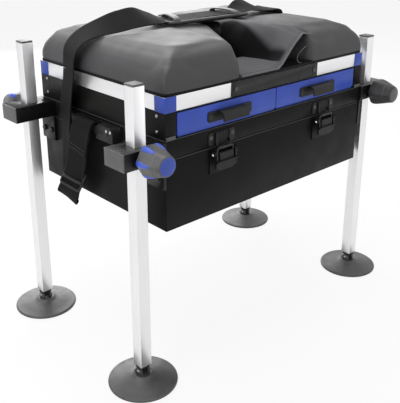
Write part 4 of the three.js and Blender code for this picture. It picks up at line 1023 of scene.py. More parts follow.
def flap_grid():
    """The cover as a height over the seat, and how much painted shade each point gets in the fold. A low floor
    with a hump behind the hem lies beside the left cushion; from its foot line the wall rises as a power of a
    sine to the crest, which runs from the front edge to the valley's end, and beyond it the cover settles on
    the right cushion."""
    row = np.linspace(0, 1, FLAP_ROWS)[:, None]
    column = np.linspace(0, 1, FLAP_COLUMNS)[None, :]
    front = -HALF_DEPTH
    y = front + (FLAP_BACK - front) * row
    way_left = np.clip((y - front) / (VALLEY_END_LEFT - front), 0, 1)
    way_right = np.clip((y - front) / (VALLEY_END_RIGHT - front), 0, 1)
    left = VALLEY_LEFT + (SEAM_X - VALLEY_LEFT) * way_left + FLAP_ASIDE
    overlap = FLAP_LANDING + (FLAP_OVERLAP - FLAP_LANDING) * smooth_step(1.5 * way_left)
    right = VALLEY_RIGHT + (SEAM_X - VALLEY_RIGHT) * way_right + overlap
    x = left + (right - left) * column
    y = y + FLAP_SETBACK * smooth_step((x - CREST_FRONT + SETBACK_BEFORE) / SETBACK_SPAN) * (1 - row) ** 4
    crest_x = CREST_FRONT + (CREST_BACK - CREST_FRONT) * way_left
    foot_x = FOOT_FRONT + FOOT_BEND * smooth_step(way_left / 0.4) * (1 - smooth_step(way_left * 2 - 1))
    rise = np.clip((x - foot_x) / (crest_x - foot_x), 0, 1)
    wall = np.sin(rise * math.pi / 2) ** np.interp(way_left, *WALL_POWERS)
    ridge_y = np.maximum(RIDGE_Y - RIDGE_SLANT * np.maximum(x - RIDGE_TURN, 0), front + RIDGE_LEAST)
    hump = smooth_step((y - front) / (ridge_y - front)) * (1 - smooth_step((y - ridge_y) / HUMP_BEHIND))
    hump = hump * (1 - smooth_step((x - HUMP_FROM) / HUMP_SPAN))
    bottom = LID_BOTTOM + FLAP_HEM
    floor = bottom + HUMP_HEIGHT * hump + (SEAT_TOP - bottom) * smooth_step((way_left - 0.82) / 0.18)
    crest = SEAT_TOP + CREST_PROUD - CREST_DROP * (1 - smooth_step(way_left / 0.3))
    resting = np.maximum(pad_height("right", x, y), pad_height("left", x, y)) + FLAP_GAP
    beyond = smooth_step((x - crest_x) / (right - crest_x))
    top = crest + (np.maximum(resting, crest - CREST_SAG) - crest) * beyond
    z = floor + (top - floor) * wall + flap_creases(x, y)
    z = np.maximum(smooth_max(z, resting, 2 * MM), bottom)
    # Painted shade: the cover left of the crest and behind the hump's ridge is painted nearly black, fading out
    # at the valley's end.
    painted_fold_shade = 1 - smooth_step((x - SHADE_FROM - SHADE_SHIFT * way_left) / SHADE_SPAN)
    painted_fold_shade = painted_fold_shade * smooth_step((y - ridge_y + SHADE_EDGE) / (2 * SHADE_EDGE))
    return np.stack(np.broadcast_arrays(x, y, z), -1), painted_fold_shade * (1 - smooth_step((way_left - 0.95) / 0.05))


CREASES = (
    {"start": (50, -66), "end": (58, -162), "height": -1.6, "width": 4.5},
    {"start": (76, -112), "end": (70, -158), "height": -1.2, "width": 4},
    {"start": (60, -80), "end": (64, -156), "height": 1.0, "width": 5},
)


def flap_creases(x, y):
    """Soft ridges and grooves along straight lines, fading at both ends."""
    total = np.zeros(np.broadcast(x, y).shape)
    for crease in CREASES:
        start, end = np.array(crease["start"]) * MM, np.array(crease["end"]) * MM
        run = end - start
        length = np.linalg.norm(run)
        along = ((x - start[0]) * run[0] + (y - start[1]) * run[1]) / length**2
        off = ((x - start[0]) * run[1] - (y - start[1]) * run[0]) / length
        fade = smooth_step(along / 0.25) * smooth_step((1.05 - along) / 0.25)
        total = total + crease["height"] * MM * fade * np.exp(-((off / (crease["width"] * MM)) ** 2))
    return total


def sheet_area(grid):
    """Area of a grid's surface, with two triangles to each cell."""
    a, b, c, d = grid[:-1, :-1], grid[:-1, 1:], grid[1:, :-1], grid[1:, 1:]
    halves = [np.linalg.norm(np.cross(b - apex, c - apex), axis=-1) for apex in (a, d)]
    return float((halves[0] + halves[1]).sum() / 2)


STITCH_ROWS = (3, 5)
STITCH_PITCH, STITCH_RADIUS, STITCH_LIFT = 3.2 * MM, 0.3 * MM, 0.1 * MM
THREAD_SHARE = 0.6
THREAD_ASIDE = (0.13, 0.31, 0.94)


def make_flap():
    """The loose cover as a thin closed sheet, with a bound hem and two rows of stitches along its front."""
    grid, painted_fold_shade = flap_grid()
    thickness = sizes().cover_thickness
    normal = unit(np.cross(np.gradient(grid, axis=1), np.gradient(grid, axis=0)))
    normal = normal * np.where(normal[..., 2:] < 0, -1, 1)
    obj = put("centre_cover", sheet_skin(grid, grid + normal * thickness))
    # Painted shade in the fold, the same for both faces of the sheet, stored as a point attribute.
    fold_shade_points = np.concatenate([painted_fold_shade, painted_fold_shade[:, ::-1]], 1).astype(np.float32)
    obj.data.attributes.new("painted_fold_shade", "FLOAT", "POINT").data.foreach_set("value", fold_shade_points.ravel())
    settle(obj, "lid", "vinyl", "centre_flap", material="cover_vinyl_lit_and_shaded")
    hem = grid[0] + normal[0] * thickness / 2
    binding = put("cover_binding", follow(hem, [0, 1, 0], ellipse(1.3 * MM, 1.1 * MM, 10)))
    # The binding's light vinyl is a painted highlight along the hem.
    settle(binding, "lid", "vinyl", material="binding_highlight_vinyl")
    stitches = []
    for row in STITCH_ROWS:
        stitches += stitch_row(grid[row] + normal[row] * (thickness + STITCH_LIFT))
    settle(put("cover_stitches", *stitches), "lid", "vinyl", material="thread")
    width = max(length_of(row) for row in grid)
    length = max(length_of(grid[:, k]) for k in (0, FLAP_COLUMNS // 2, FLAP_COLUMNS - 1))
    min(sheet_area(grid), width * length)


def stitch_row(line):
    """Short threads along a line: three fifths of each pitch is thread, and the rest is in the cloth."""
    reach = travelled(line)
    threads = []
    for start in np.arange(STITCH_PITCH, reach[-1] - STITCH_PITCH, STITCH_PITCH):
        places = start + np.linspace(0, THREAD_SHARE, 4) * STITCH_PITCH
        run = np.stack([np.interp(places, reach, column) for column in line.T], -1)
        threads.append(follow(run, THREAD_ASIDE, ellipse(STITCH_RADIUS, STITCH_RADIUS, 6)))
    return threads


TAPE_STATIONS = (
    # x, y, z of the middle in millimetres and the direction across
    (80, -156, 483, 0, 1, 0),
    (70, -158, 480, 0, 1, 0),
    (59, -159, 474, 0, 1, 0),
    (54, -160, 467, 0, 1, 0),
    (56, -161, 460.5, 0, 1, 0),
    (64, -161, 458, 0, 1, 0),
)


def make_tape():
    """The light tape edge inside the valley: a thin tube along a few given places."""
    tape = sweep(*web_frames(TAPE_STATIONS, 40), ellipse(0.9 * MM, 0.9 * MM, 8))
    settle(put("valley_piping", tape), "lid", "vinyl", material="grey_plastic")


LINING_SPARE = 5 * MM
LINING_LOW, LINING_HIGH = 3.1 * MM, 3.9 * MM
BAND_INSET, BAND_UP = 1.2 * MM, 1.9 * MM


def make_linings():
    """Lining of the board in the valley, and the cushion covers' turned-in edge all round the seat, both in a
    near-black copy of the vinyl as painted shade.
    """
    low = [VALLEY_LEFT - 3 * MM, -HALF_DEPTH + 2 * MM, LID_BOTTOM + LINING_LOW]
    high = [VALLEY_RIGHT + LINING_SPARE, VALLEY_END_RIGHT + LINING_SPARE, LID_BOTTOM + LINING_HIGH]
    lining = round_edges(put("board_lining", block(low, high)), 0.3 * MM)
    settle(lining, "lid", "vinyl", material="shade_black_vinyl")
    outline = box_outline(7 * MM, 8) * (1 - BAND_INSET / HALF_DEPTH)
    band = hoop(at_height(outline, LID_BOTTOM + BAND_UP), UP, ellipse(1.0 * MM, 1.6 * MM, 12, 0.6))
    settle(put("seat_edge_band", band), "lid", "vinyl", material="shade_black_vinyl")


# Webbing

STRAP_OVER = (
    # x, y, z of the middle in millimetres and the direction across
    (-238.6, 64, 454.2, 0.24, 1, 0),
    (-238, 63, 470, 0.22, 1, 0),
    (-234.5, 62, 487, 0.18, 1, 0.03),
    (-222.5, 60, 501, 0.14, 1, 0.08),
    (-205, 55, 511.5, 0.08, 1, 0.16),
    (-180, 44, 520.5, -0.04, 1, 0.3),
    (-150, 31, 528.5, -0.2, 1, 0.46),
    (-122, 27, 531, -0.22, 1, 0.56),
    (-94, 26, 526, -0.1, 1, 0.32),
    (-72, 22.5, 521.6, 0.02, 1, 0.06),
    (-58, 20.8, 521.2, 0.045, 1, 0),
    (-30, 19.6, 521.6, 0.045, 1, 0),
    (5, 18, 522.2, 0.045, 1, 0),
    (40, 16.4, 521.7, 0.045, 1, 0),
    (68, 15.2, 521.2, 0.045, 1, 0),
    (86, 14.6, 522.6, 0.03, 1, 0),
    (97, 14.8, 526.2, 0, 1, 0.12),
    (108, 15.3, 529, 0, 1, 0.28),
    (120, 16, 529, 0, 1, 0.34),
    (133, 17, 526.6, 0, 1, 0.3),
    (147, 18, 522.6, 0, 1, 0.17),
    (164, 19.5, 519.2, 0, 1, 0.05),
    (186, 25, 517.2, 0, 1, 0),
    (205, 35, 511.4, 0, 1, 0),
    (221, 47, 502, 0, 1, 0),
    (232, 56.5, 487.5, -0.1, 1, 0),
    (237.6, 62, 470, -0.2, 1, 0),
    (238.6, 64, 454.2, -0.24, 1, 0),
)
HANG_STATIONS = (
    # the same for the right hanging strap, from its sewn end up over the bracket's bar and down to the fold
    (237.2, 10.5, 363, 0, 1, 0),
    (237.4, 10.5, 375, 0, 1, 0),
    (238.8, 10.5, 383.2, 0, 1, 0),
    (243.2, 10.5, 386, 0, 1, 0),
    (249, 11, 383.6, 0, 1, 0),
    (252.2, 13, 374, -0.02, 1, 0),
    (253, 21, 352, 0, 1, 0),
    (253.2, 29, 328, 0.02, 1, 0),
    (253.8, 36, 303, 0.05, 1, 0),
    (255.6, 43, 281, 0.06, 1, 0),
    (257.2, 52, 262, 0.05, 1, 0.06),
    (257.4, 62, 246, 0.02, 1, 0.14),
    (254, 68, 238.5, 0, 1, 0.16),
    (249.5, 70, 238, 0, 1, 0.12),
    (245.8, 70, 246, 0, 1, 0.06),
    (243.4, 71, 262, 0, 1, 0),
    (242.2, 73, 282, -0.06, 1, 0),
    (241.8, 75, 303, -0.14, 1, 0),
    (242, 74, 330, -0.24, 1, -0.05),
    (244, 72.5, 352, -0.36, 1, -0.1),
    (242.6, 76, 374, -0.26, 1, -0.06),
    (241.4, 75, 396, -0.24, 1, 0.04),
    (241.4, 69, 417, -0.26, 1, 0.08),
    (240.8, 64.5, 437, -0.27, 1, 0.05),
    (238.6, 64, 453.6, -0.24, 1, 0),
)
HANG_SQUARED = 0.5
SLIDER_STATION = 9
SLIDER_ALONG = (0.0, 1.0, 0.02)
SLIDER_UP = (-0.42, -0.14, 0.9)
SLIDER_SPARE, SLIDER_HALF_HEIGHT = 3 * MM, 16 * MM
SLIDER_BAR, SLIDER_CORNER = 2 * MM, 4 * MM
MIDDLE_BAR_SHIFT = (2.6 * MM, 0, -2 * MM)
TAB_STATIONS = slice(3, 8)
TAB_NARROWER, TAB_THICKNESS, TAB_LIFT = 1 * MM, 1.5 * MM, 2.1 * MM
TAB_ROWS = (-4, -8)
TAB_STITCH_HALF, TAB_STITCH_LIFT = 1.1 * MM, 0.9 * MM


def strap_line():
    """x and y of the strap's middle over the seat, for the pieces under it."""
    return np.array(STRAP_OVER).T[:2] * MM


def web_section(width, thickness):
    """A flat band with round edges: its upper face and right edge, and the same turned half round."""
    half, r = width / 2, thickness / 2
    arc = np.linspace(math.pi / 2, -math.pi / 2, 5)[1:-1]
    top = at_height(np.linspace(-half + r, half - r, 17), r)
    edge = np.column_stack([half - r + r * np.cos(arc), r * np.sin(arc)])
    return np.vstack([top, edge, -top, -edge])


def web_frames(stations, count, squared=1.0):
    """Evenly spaced middles, directions across and normals of a strap through the stations. The directions
    across are turned square to the path by the share squared, so that a slack strap can hang askew."""
    table = spline(np.array(stations) * [MM, MM, MM, 1, 1, 1], count)
    path, across = table[:, :3], table[:, 3:]
    ahead = unit(np.gradient(path, axis=0))
    across = unit(across - squared * (across * ahead).sum(-1, keepdims=True) * ahead)
    return path, across, unit(np.cross(ahead, across))


def make_strap(name, stations, count, body, node, mirror=1, squared=1.0):
    """A flat strap along its stations, mirrored for the left side."""
    path, across, normal = web_frames(stations, count, squared)
    skin = sweep(path, across, normal, web_section(sizes().web_width, sizes().web_thickness))
    obj = settle(put(name, mirrored(skin, mirror)), body, "webbing", node)
    length_of(path)


def loop_frame(centre, side, up, half_width, half_height, bar, radius):
    """A rounded rectangle of flattened bar, drawn along side and up round its centre."""
    outline = rounded_outline((-half_width, -half_height), (half_width, half_height), radius)
    path = centre + outline[:, :1] * side + outline[:, 1:] * up
    return hoop(path, np.cross(side, up), ellipse(bar, bar * 0.8, 10, 0.7))


def make_slider(place):
    """Three-bar slider: a rounded frame with a middle bar that the webbing passes round."""
    centre = np.array(HANG_STATIONS[SLIDER_STATION][:3]) * MM
    along, up = unit(np.array(SLIDER_ALONG)), unit(np.array(SLIDER_UP))
    reach = sizes().web_width / 2 + SLIDER_SPARE
    ring = loop_frame(centre, along, up, reach, SLIDER_HALF_HEIGHT, SLIDER_BAR, SLIDER_CORNER)
    bar_path = centre + MIDDLE_BAR_SHIFT + np.linspace(-reach, reach, 6)[:, None] * along
    square = unit(up - (up @ along) * along)
    bar = sweep(bar_path, square, np.cross(square, along), ellipse(2.6 * MM, 1.6 * MM, 12, 0.8))
    obj = put("slider_" + place, *[mirrored(piece, SIDES[place]) for piece in (ring, bar)])
    settle(obj, "cabinet", "black_plastic")


def make_tab(place):
    """The strap's sewn-down end: a second layer on the falling strand, with rows of stitches."""
    path, across, normal = web_frames(HANG_STATIONS[TAB_STATIONS], 40, HANG_SQUARED)
    outward = np.where(normal[:, :1] > 0, normal, -normal)
    path = path + outward * TAB_LIFT
    width = sizes().web_width - TAB_NARROWER
    layer = sweep(path, across, normal, web_section(width, TAB_THICKNESS))
    obj = settle(put("strap_tab_" + place, mirrored(layer, SIDES[place])), "cabinet", "webbing")
    length_of(path)
    threads = []
    for row in TAB_ROWS:
        for share in np.linspace(-0.42, 0.42, 15):
            reach = share * sizes().web_width + np.linspace(-TAB_STITCH_HALF, TAB_STITCH_HALF, 4)[:, None]
            run = path[row] + outward[row] * TAB_STITCH_LIFT + reach * across[row]
            up = np.cross(outward[row], across[row])
            thread = sweep(run, outward[row], up, ellipse(0.35 * MM, 0.45 * MM, 6))
            threads.append(mirrored(thread, SIDES[place]))
    settle(put("strap_stitches_" + place, *threads), "cabinet", "webbing", material="thread")


# Shoulder pad

PAD_LENGTH, PAD_WIDTH = 178 * MM, 64 * MM
PAD_PLACE = (5 * MM, 18 * MM)
PAD_TURN = -0.045
SOLE_BOTTOM = float(corners("shoulder_pad")[0][2])
SOLE_INSET, SOLE_TOP, SOLE_EDGE, SOLE_UNDER = 1.5 * MM, 2.9 * MM, 1.6 * MM, 0.2 * MM
SOLE_RIB, SOLE_RIBS = 0.35 * MM, 9
PAD_FRAME_INSET, PAD_FRAME_UP = 2.6 * MM, 4.1 * MM
BRIDGES = ((-66 * MM, 0.3), (54 * MM, -0.1))
BRIDGE_REACH, BRIDGE_FOOT, BRIDGE_RISE = 29.5 * MM, 4.8 * MM, 7.2 * MM


def on_seat(skin):
    """Turns and shifts a piece drawn round the pad's own middle to where the pad lies."""
    angle = math.atan(PAD_TURN)
    turn = [[math.cos(angle), -math.sin(angle), 0], [math.sin(angle), math.cos(angle), 0], [0, 0, 1]]
    return moved(skin, turn, (*PAD_PLACE, SOLE_BOTTOM))


def sole_section(scale):
    """Section of the sole: a flat underside and a top with shallow ribs between two low edges."""
    half = (PAD_WIDTH / 2 - SOLE_INSET) * scale
    u = np.linspace(-1, 1, 61)
    top = SOLE_TOP + SOLE_RIB * np.cos(u * SOLE_RIBS * math.pi) * (np.abs(u) < 0.85)
    top[[0, -1]] = SOLE_EDGE
    return np.vstack([np.column_stack([u * half, top]), at_height(u[::-1] * half * 0.97, SOLE_UNDER)])


def make_shoulder_pad():
    """Moulded grip pad: a ribbed sole, a raised frame round it and two bridges that hold the webbing down."""
    x = np.linspace(-1, 1, 41) * (PAD_LENGTH / 2 - SOLE_INSET)
    narrowing = 1 - 0.16 * smooth_step((np.abs(x) / (PAD_LENGTH / 2) - 0.86) / 0.14)
    path = x[:, None] * [1, 0, 0]
    sole = sweep(path, [0, 1, 0], UP, np.array([sole_section(scale) for scale in narrowing]))
    sole = settle(put("shoulder_pad_sole", on_seat(sole)), "lid", "black_plastic", "shoulder_pad")
    half = np.array([PAD_LENGTH / 2, PAD_WIDTH / 2]) - PAD_FRAME_INSET
    ring = at_height(rounded_outline(-half, half, 11 * MM, 10), PAD_FRAME_UP)
    frame_bar = on_seat(hoop(ring, UP, ellipse(2.6 * MM, 2.4 * MM, 14, 0.75)))
    settle(put("shoulder_pad_frame", frame_bar), "lid", "black_plastic", material="foot_rubber")
    turn = np.linspace(0, math.pi, 33)
    y = -BRIDGE_REACH * np.cos(turn)
    z = BRIDGE_FOOT + BRIDGE_RISE * np.sin(turn) ** 0.5
    bridges = []
    for place, slant in BRIDGES:
        path = np.column_stack([place + slant * y, y, z])
        up = unit(np.cross([1, 0, 0], unit(np.gradient(path, axis=0))))
        bridges.append(on_seat(sweep(path, [1, 0, 0], up, ellipse(6.5 * MM, 1.4 * MM, 16, 0.6))))
    settle(put("shoulder_pad_bridges", *bridges), "lid", "grey_plastic")


# Clamp knobs

KNOB_LOBES = 6
KNOB_LENGTH = 45.6 * MM
KNOB_RADIUS = 24.5 * MM
KNOB_START = 169.7 * MM
KNOB_PROFILE = (
    # distance along and radius as shares of the length and of the full radius, and the lobes' depth
    (0.0, 0.52, 0),
    (0.075, 0.53, 0),
    (0.085, 0.62, 0.1),
    (0.1, 0.8, 0.3),
    (0.13, 0.93, 0.7),
    (0.19, 0.985, 1),
    (0.28, 1.0, 1),
    (0.4, 0.965, 1),
    (0.55, 0.885, 0.9),
    (0.7, 0.79, 0.7),
    (0.83, 0.70, 0.4),
    (0.92, 0.635, 0.14),
    (0.965, 0.6, 0),
    (0.99, 0.56, 0),
    (1.0, 0.5, 0),
)
LOBE_DEPTH = 0.13
KNOB_CAP = ((13.6, -0.8), (13.6, 0.3), (13, 0.9), (11.4, 1.3), (6, 1.7), (1, 1.8))
CAP_SUNK = 1 * MM
INLAY_START, INLAY_REACH = 0.1, 0.56
INLAY_WIDE, INLAY_NARROWER = 0.26, 0.14
INLAY_PROUD, INLAY_SUNK = 0.7 * MM, -0.8 * MM
BLUE_CORNERS = ("front_left", "back_left")


def knob_grid(along, angle, place, lift=0.0):
    """Points of the knob at shares of its length and angles round it: its profile's radius, less at the
    hollows between the lobes, plus a lift."""
    shares, radii, depths = np.array(KNOB_PROFILE).T
    hollow = np.interp(along, shares, depths) * LOBE_DEPTH * ((1 + np.cos(KNOB_LOBES * angle)) / 2) ** 0.6
    radius = np.interp(along, shares, radii) * KNOB_RADIUS * (1 - hollow) + lift
    middle = sum(corners("clamp_knob_" + place)) / 2
    y = CORNERS[place][1] * (KNOB_START + along * KNOB_LENGTH)
    parts = np.broadcast_arrays(middle[0] + radius * np.sin(angle), y, middle[2] + radius * np.cos(angle))
    return np.stack(parts, -1)


def make_knob(place):
    """Six-sided grip that tapers to a round end, with a cap there and, on a two-coloured knob, an inlay on
    each corner."""
    along = np.union1d(np.linspace(0, 1, 41), np.array(KNOB_PROFILE)[:, 0])
    grid = knob_grid(along[:, None], np.linspace(0, 2 * math.pi, 144, endpoint=False), place)
    sy = CORNERS[place][1]
    pieces = [lathe(np.array(KNOB_CAP) * MM, grid[-1].mean(0) - [0, sy * CAP_SUNK, 0], (0, sy, 0), 48)]
    grip, slot, inlay = "dark_plastic", "grey_plastic", "grey_plastic"
    if place in BLUE_CORNERS:
        grip, slot, inlay = "grey_plastic", "blue_paint", "blue_plastic"
        pieces += [knob_inlay(place, number) for number in range(KNOB_LOBES)]
    body = place + "_knob"
    settle(put("knob_" + place, ring_skin(grid)), body, "grey_plastic", "clamp_knob_" + place, material=grip)
    settle(put("knob_inlays_" + place, *pieces), body, slot, material=inlay)


def knob_inlay(place, number):
    """A soft patch along a corner of the grip, wide near the wide end and narrower towards the other."""
    share, across = np.linspace(0, 1, 19)[:, None], np.linspace(-1, 1, 11)
    ends = np.clip(np.sin(math.pi * share), 0, 1) ** 0.3
    spread = (INLAY_WIDE - INLAY_NARROWER * share) * np.maximum(ends, 0.15)
    angle = (number + 0.5) * 2 * math.pi / KNOB_LOBES + spread * across
    along = INLAY_START + INLAY_REACH * share
    lift = INLAY_PROUD * (1 - 0.5 * across**4) * np.maximum(ends, 0.3)
    return sheet_skin(knob_grid(along, angle, place, lift), knob_grid(along, angle, place, INLAY_SUNK))


# Mud feet

FOOT_PROFILE = (
    # radius and height in millimetres, from under the middle, round the lip and up to the hub
    (4, 2.6), (30, 2.6), (47, 1.6), (50, 0), (53, 0), (54.2, 0.7), (54.5, 2), (54.2, 3.6), (53, 4.6),
    (51.2, 4.9), (49.6, 5.0), (40, 7.4), (30, 9.8), (22, 11.7), (17.5, 13), (16, 14.2), (14.6, 15),
    (12.6, 15), (11.6, 14), (4, 13.6),
)
LUG_X = (5.1, 8.9)
LUG_EYE, LUG_UP = 6, 20
LUG_ROOT = ((-6.6, 12), (6.6, 12))
FOOT_PIN = ((2, 0), (2.6, 0.2), (2.8, 0.9), (2.8, 20.1), (2.6, 20.8), (2, 21))
FOOT_PIN_START = -10.5


def make_foot(place):
    """Round foot with a rolled lip and a shallow cone, and two lugs with a pin for the stem."""
    body = place + "_foot"
    centre = sum(corners("foot_" + place)) / 2 * [1, 1, 0]
    disc = lathe(np.array(FOOT_PROFILE) * MM, centre, UP, 96)
    settle(put("mud_foot_" + place, disc), body, "foot_rubber", "foot_" + place)
    angle = np.linspace(0, math.pi, 15)
    eye = np.column_stack([LUG_EYE * np.cos(angle), LUG_UP + LUG_EYE * np.sin(angle)])
    eye = np.vstack([eye, LUG_ROOT])
    lugs = []
    for side in (-1, 1):
        rows = [np.column_stack([np.full(len(eye), side * x), eye]) for x in LUG_X]
        lugs.append(ring_skin(np.array(rows) * MM + centre))
    settle(round_edges(put("foot_lugs_" + place, *lugs, smooth=False), 0.5 * MM), body, "foot_rubber")
    start = centre + np.array([FOOT_PIN_START, 0, LUG_UP]) * MM
    settle(put("foot_pin_" + place, lathe(np.array(FOOT_PIN) * MM, start, (1, 0, 0), 20)), body, "steel")


# Rivets, screws, plugs and clips

HEAD_SUNK = 0.4 * MM
POST_RIVET_Y, POST_RIVET_UP = (-147, 147), (400.7, 424)
BRACKET_RIVET_ALONG, BRACKET_RIVET_DOWN = (5, 15), 6
PLATE_SCREW_X = (-93, 93)
KEEPER_SCREW_X, KEEPER_SCREW_UP = (-22, 22), 376.5
PULL_SCREW_X, PULL_SCREW_UP = (-40, 40), 409.4
CROSS_WIDTH, CROSS_REACH, CROSS_FLOOR = 0.14, 0.62, 0.15
CLIP_X, CLIP_UP = (213, 230), (390.9, 396)
EDGE_LINES = (("rim_edge", "cabinet", 390.4), ("box_edge", "base", 360.7))
PLUG_MIDDLE, PLUG_BEFORE, PLUG_ACROSS = 146.65 * MM, 22.6 * MM, 45.3 * MM
PLUG_HEIGHT, PLUG_SUNK, PLUG_PROUD = 25.8 * MM, 0.5 * MM, 1.4 * MM


def dome(centre, direction, radius, height):
    """A round head: a short wall and then a low dome."""
    turn = np.linspace(0, math.pi / 2, 6)
    cap = np.column_stack([0.98 * radius * np.cos(turn) + 1e-5, height * (0.15 + 0.85 * np.sin(turn))])
    return lathe(np.vstack([[radius, -HEAD_SUNK], [radius, 0.15 * height], cap]), centre, direction, 24)


def screw_head(centre, direction, radius, height, turn):
    """A pan head with a cross cut into it: the top sinks where a point lies in either bar of the cross."""
    ring = np.linspace(1, 0.02, 14)[:, None]
    angle = np.linspace(0, 2 * math.pi, 48, endpoint=False) + turn
    off = np.abs(ring * np.stack([np.cos(angle), np.sin(angle)])[:, None])
    sunk = (off.min(0) < CROSS_WIDTH) & (off.max(0) < CROSS_REACH)
    rise = height * np.sqrt(1 - (ring * 0.95) ** 2)
    lift = np.where(sunk, rise * CROSS_FLOOR, rise)
    heights = np.vstack([np.full((1, 48), -HEAD_SUNK), np.zeros((1, 48)), lift])
    return turned(np.vstack([[[1], [1]], ring]) * radius, heights, centre, direction, 48)


def make_rivets():
    """Rivets of the corner posts on both ends of the cabinet, and of the strap brackets' front ends."""
    radius = sizes().rivet_radius
    heads = [dome((side * (HALF_LENGTH - 0.1 * MM), y * MM, up * MM), (side, 0, 0), radius, 1.1 * MM)
             for side in (-1, 1) for y in POST_RIVET_Y for up in POST_RIVET_UP]
    settle(put("post_rivets", *heads), "cabinet", "steel")
    heads = []
    for place, side in SIDES.items():
        low, high = corners("strap_bracket_" + place)
        face = (low, high)[side > 0][0] - side * 0.2 * MM
        for along in BRACKET_RIVET_ALONG:
            spot = (face, low[1] + along * MM, high[2] - BRACKET_RIVET_DOWN * MM)
            heads.append(dome(spot, (side, 0, 0), 2.4 * MM, 1.3 * MM))
    settle(put("bracket_rivets", *heads), "cabinet", "steel")


def make_screws():
    """Cross-head screws of the tray's front plate, the drawer pulls and the latch keepers."""
    low, high = corners("tray_front_plate")
    spots = [(x * MM, low[1] - 0.1 * MM, (low[2] + high[2]) / 2) for x in PLATE_SCREW_X]
    heads = [screw_head(spot, FRONT, 3.2 * MM, 1.1 * MM, 0.4) for spot in spots]
    for side in SIDES.values():
        for x in KEEPER_SCREW_X:
            spot = (side * LATCH_X + x * MM, -HALF_DEPTH - 1.7 * MM, KEEPER_SCREW_UP * MM)
            heads.append(screw_head(spot, FRONT, 3.3 * MM, 1.2 * MM, 0.9))
    settle(put("plate_screws", *heads), "cabinet", "black_plastic", material="grey_plastic")
    for place in SIDES:
        middle = sum(corners("drawer_pull_" + place)) / 2
        spots = [(middle[0] + x * MM, -HALF_DEPTH - 1.8 * MM, PULL_SCREW_UP * MM) for x in PULL_SCREW_X]
        heads = [screw_head(spot, FRONT, 3.0 * MM, 1.1 * MM, 0.2) for spot in spots]
        obj = put("pull_screws_" + place, *heads)
        settle(obj, place + "_drawer", "black_plastic", material="dark_plastic")


def make_clips():
    """Small grey clips under the tray's front corners."""
    clips = []
    for side in (-1, 1):
        near, far = sorted(side * x for x in CLIP_X)
        clips.append(plate_skin((near, CLIP_UP[0]), (far, CLIP_UP[1]), 0.8, -0.5, 1.6))
    settle(put_on_front("corner_clips", clips), "cabinet", "black_plastic", material="grey_plastic")


def make_edge_lines():
    """Light lines along the folded sheet's edges, all round under the tray and round the mouth of the lower
    box: a painted highlight where the rounded edges catch light.
    """
    for name, body, up in EDGE_LINES:
        line = hoop(at_height(box_outline(2 * MM), up * MM), UP, ellipse(0.45 * MM, 0.55 * MM, 8))
        settle(put(name, line), body, "black_coat", material="edge_highlight_coat")


def make_plugs():
    """Grey plugs that close the outer ends of the arms."""
    for place, (sx, sy) in CORNERS.items():
        low, high = corners("arm_" + place)
        outer = (low, high)[sx > 0][0]
        y = max(low[1], sy * PLUG_MIDDLE - PLUG_BEFORE)
        near = [outer - sx * PLUG_SUNK, y, high[2] - PLUG_HEIGHT]
        far = [outer + sx * PLUG_PROUD, y + PLUG_ACROSS, high[2]]
        settle(round_edges(put("arm_plug_" + place, block(near, far)), 0.7 * MM), "base", "grey_plastic")


# Latches and drawer pulls, drawn across, up and out from the front face, in millimetres

LATCH_X = -float(sum(corners("latch_base_left"))[0]) / 2
LATCH_PIVOT = (8.0, 352.3)
KEEPER_PLATE = ((-27.5, 363.6), (27.5, 384.6))
RIB_OUT, RIB_DEPTH, RIB_PITCH = 2.9, 0.45, 3.15
RIB_LEVELS = (370, 371, 382.6, 383.6)
HOOK_LINES = ((3.8, 366.6), (3.8, 364.2)), ((0.5, 366.6), (0.5, 364.2))
FIN_X = (12.6, 15.3)
FIN_OUTER = ((0.5, 384.2), (3.6, 384), (5.6, 381.5), (5.2, 377), (4.8, 372.5), (6.2, 367.5), (6.2, 364.4))
FIN_INNER = ((0.5, 383), (0.5, 381), (0.5, 378), (0.5, 374), (0.5, 370), (0.5, 367), (0.5, 364.4))
CLAW_PIVOT_UP, CLAW_BAR_UP, CLAW_LEAN = 344.3, 361.2, 1.4
CLAW_HALF_WIDTH, CLAW_WIRE, CLAW_CORNER = 16.2, 1.3, 3
CLAW_BAR_HALF, CLAW_BAR_RADIUS = 14, 2.2
LEVER_TOP = (
    ((11.6, 353.5), (12.8, 351.5), (13, 346), (13, 341)),
    ((10.2, 353.2), (10.3, 351), (10.4, 346), (10.4, 341)),
)
LEVER_LEDGE = (
    ((13, 342), (16.6, 341.6), (17, 339.8), (12.6, 338.4)),
    ((10.4, 342), (10.4, 341.2), (10.4, 340), (10.4, 338.8)),
)
LEVER_HALF = 21.5
LEVER_STRIPS = ((-LEVER_HALF, -18.1), (-14.2, 14.2), (18.1, LEVER_HALF))
LEVER_PLATE = ((-20.6, 326.4), (20.6, 340.6))
CHEEK_X = (19.2, LEVER_HALF)
CHEEK = (
    (3.6, 353.5), (5.4, 356.4), (8.2, 356.9), (11, 355.8), (12.9, 352), (12.9, 331), (11.8, 328.6),
    (9.6, 329.6), (3.8, 347),
)
LATCH_PIN_X = 24.8
PULL_UP = (400.9, 417.4)
PULL_HALF = 27
PULL_OUTER = ((1.6, 417.5), (9, 417.2), (12.6, 416), (14.8, 413.6), (15.8, 410), (16, 402))
PULL_INNER = ((1.6, 415.3), (8.6, 415), (11.2, 414), (12.8, 412.2), (13.7, 409.5), (13.8, 402))


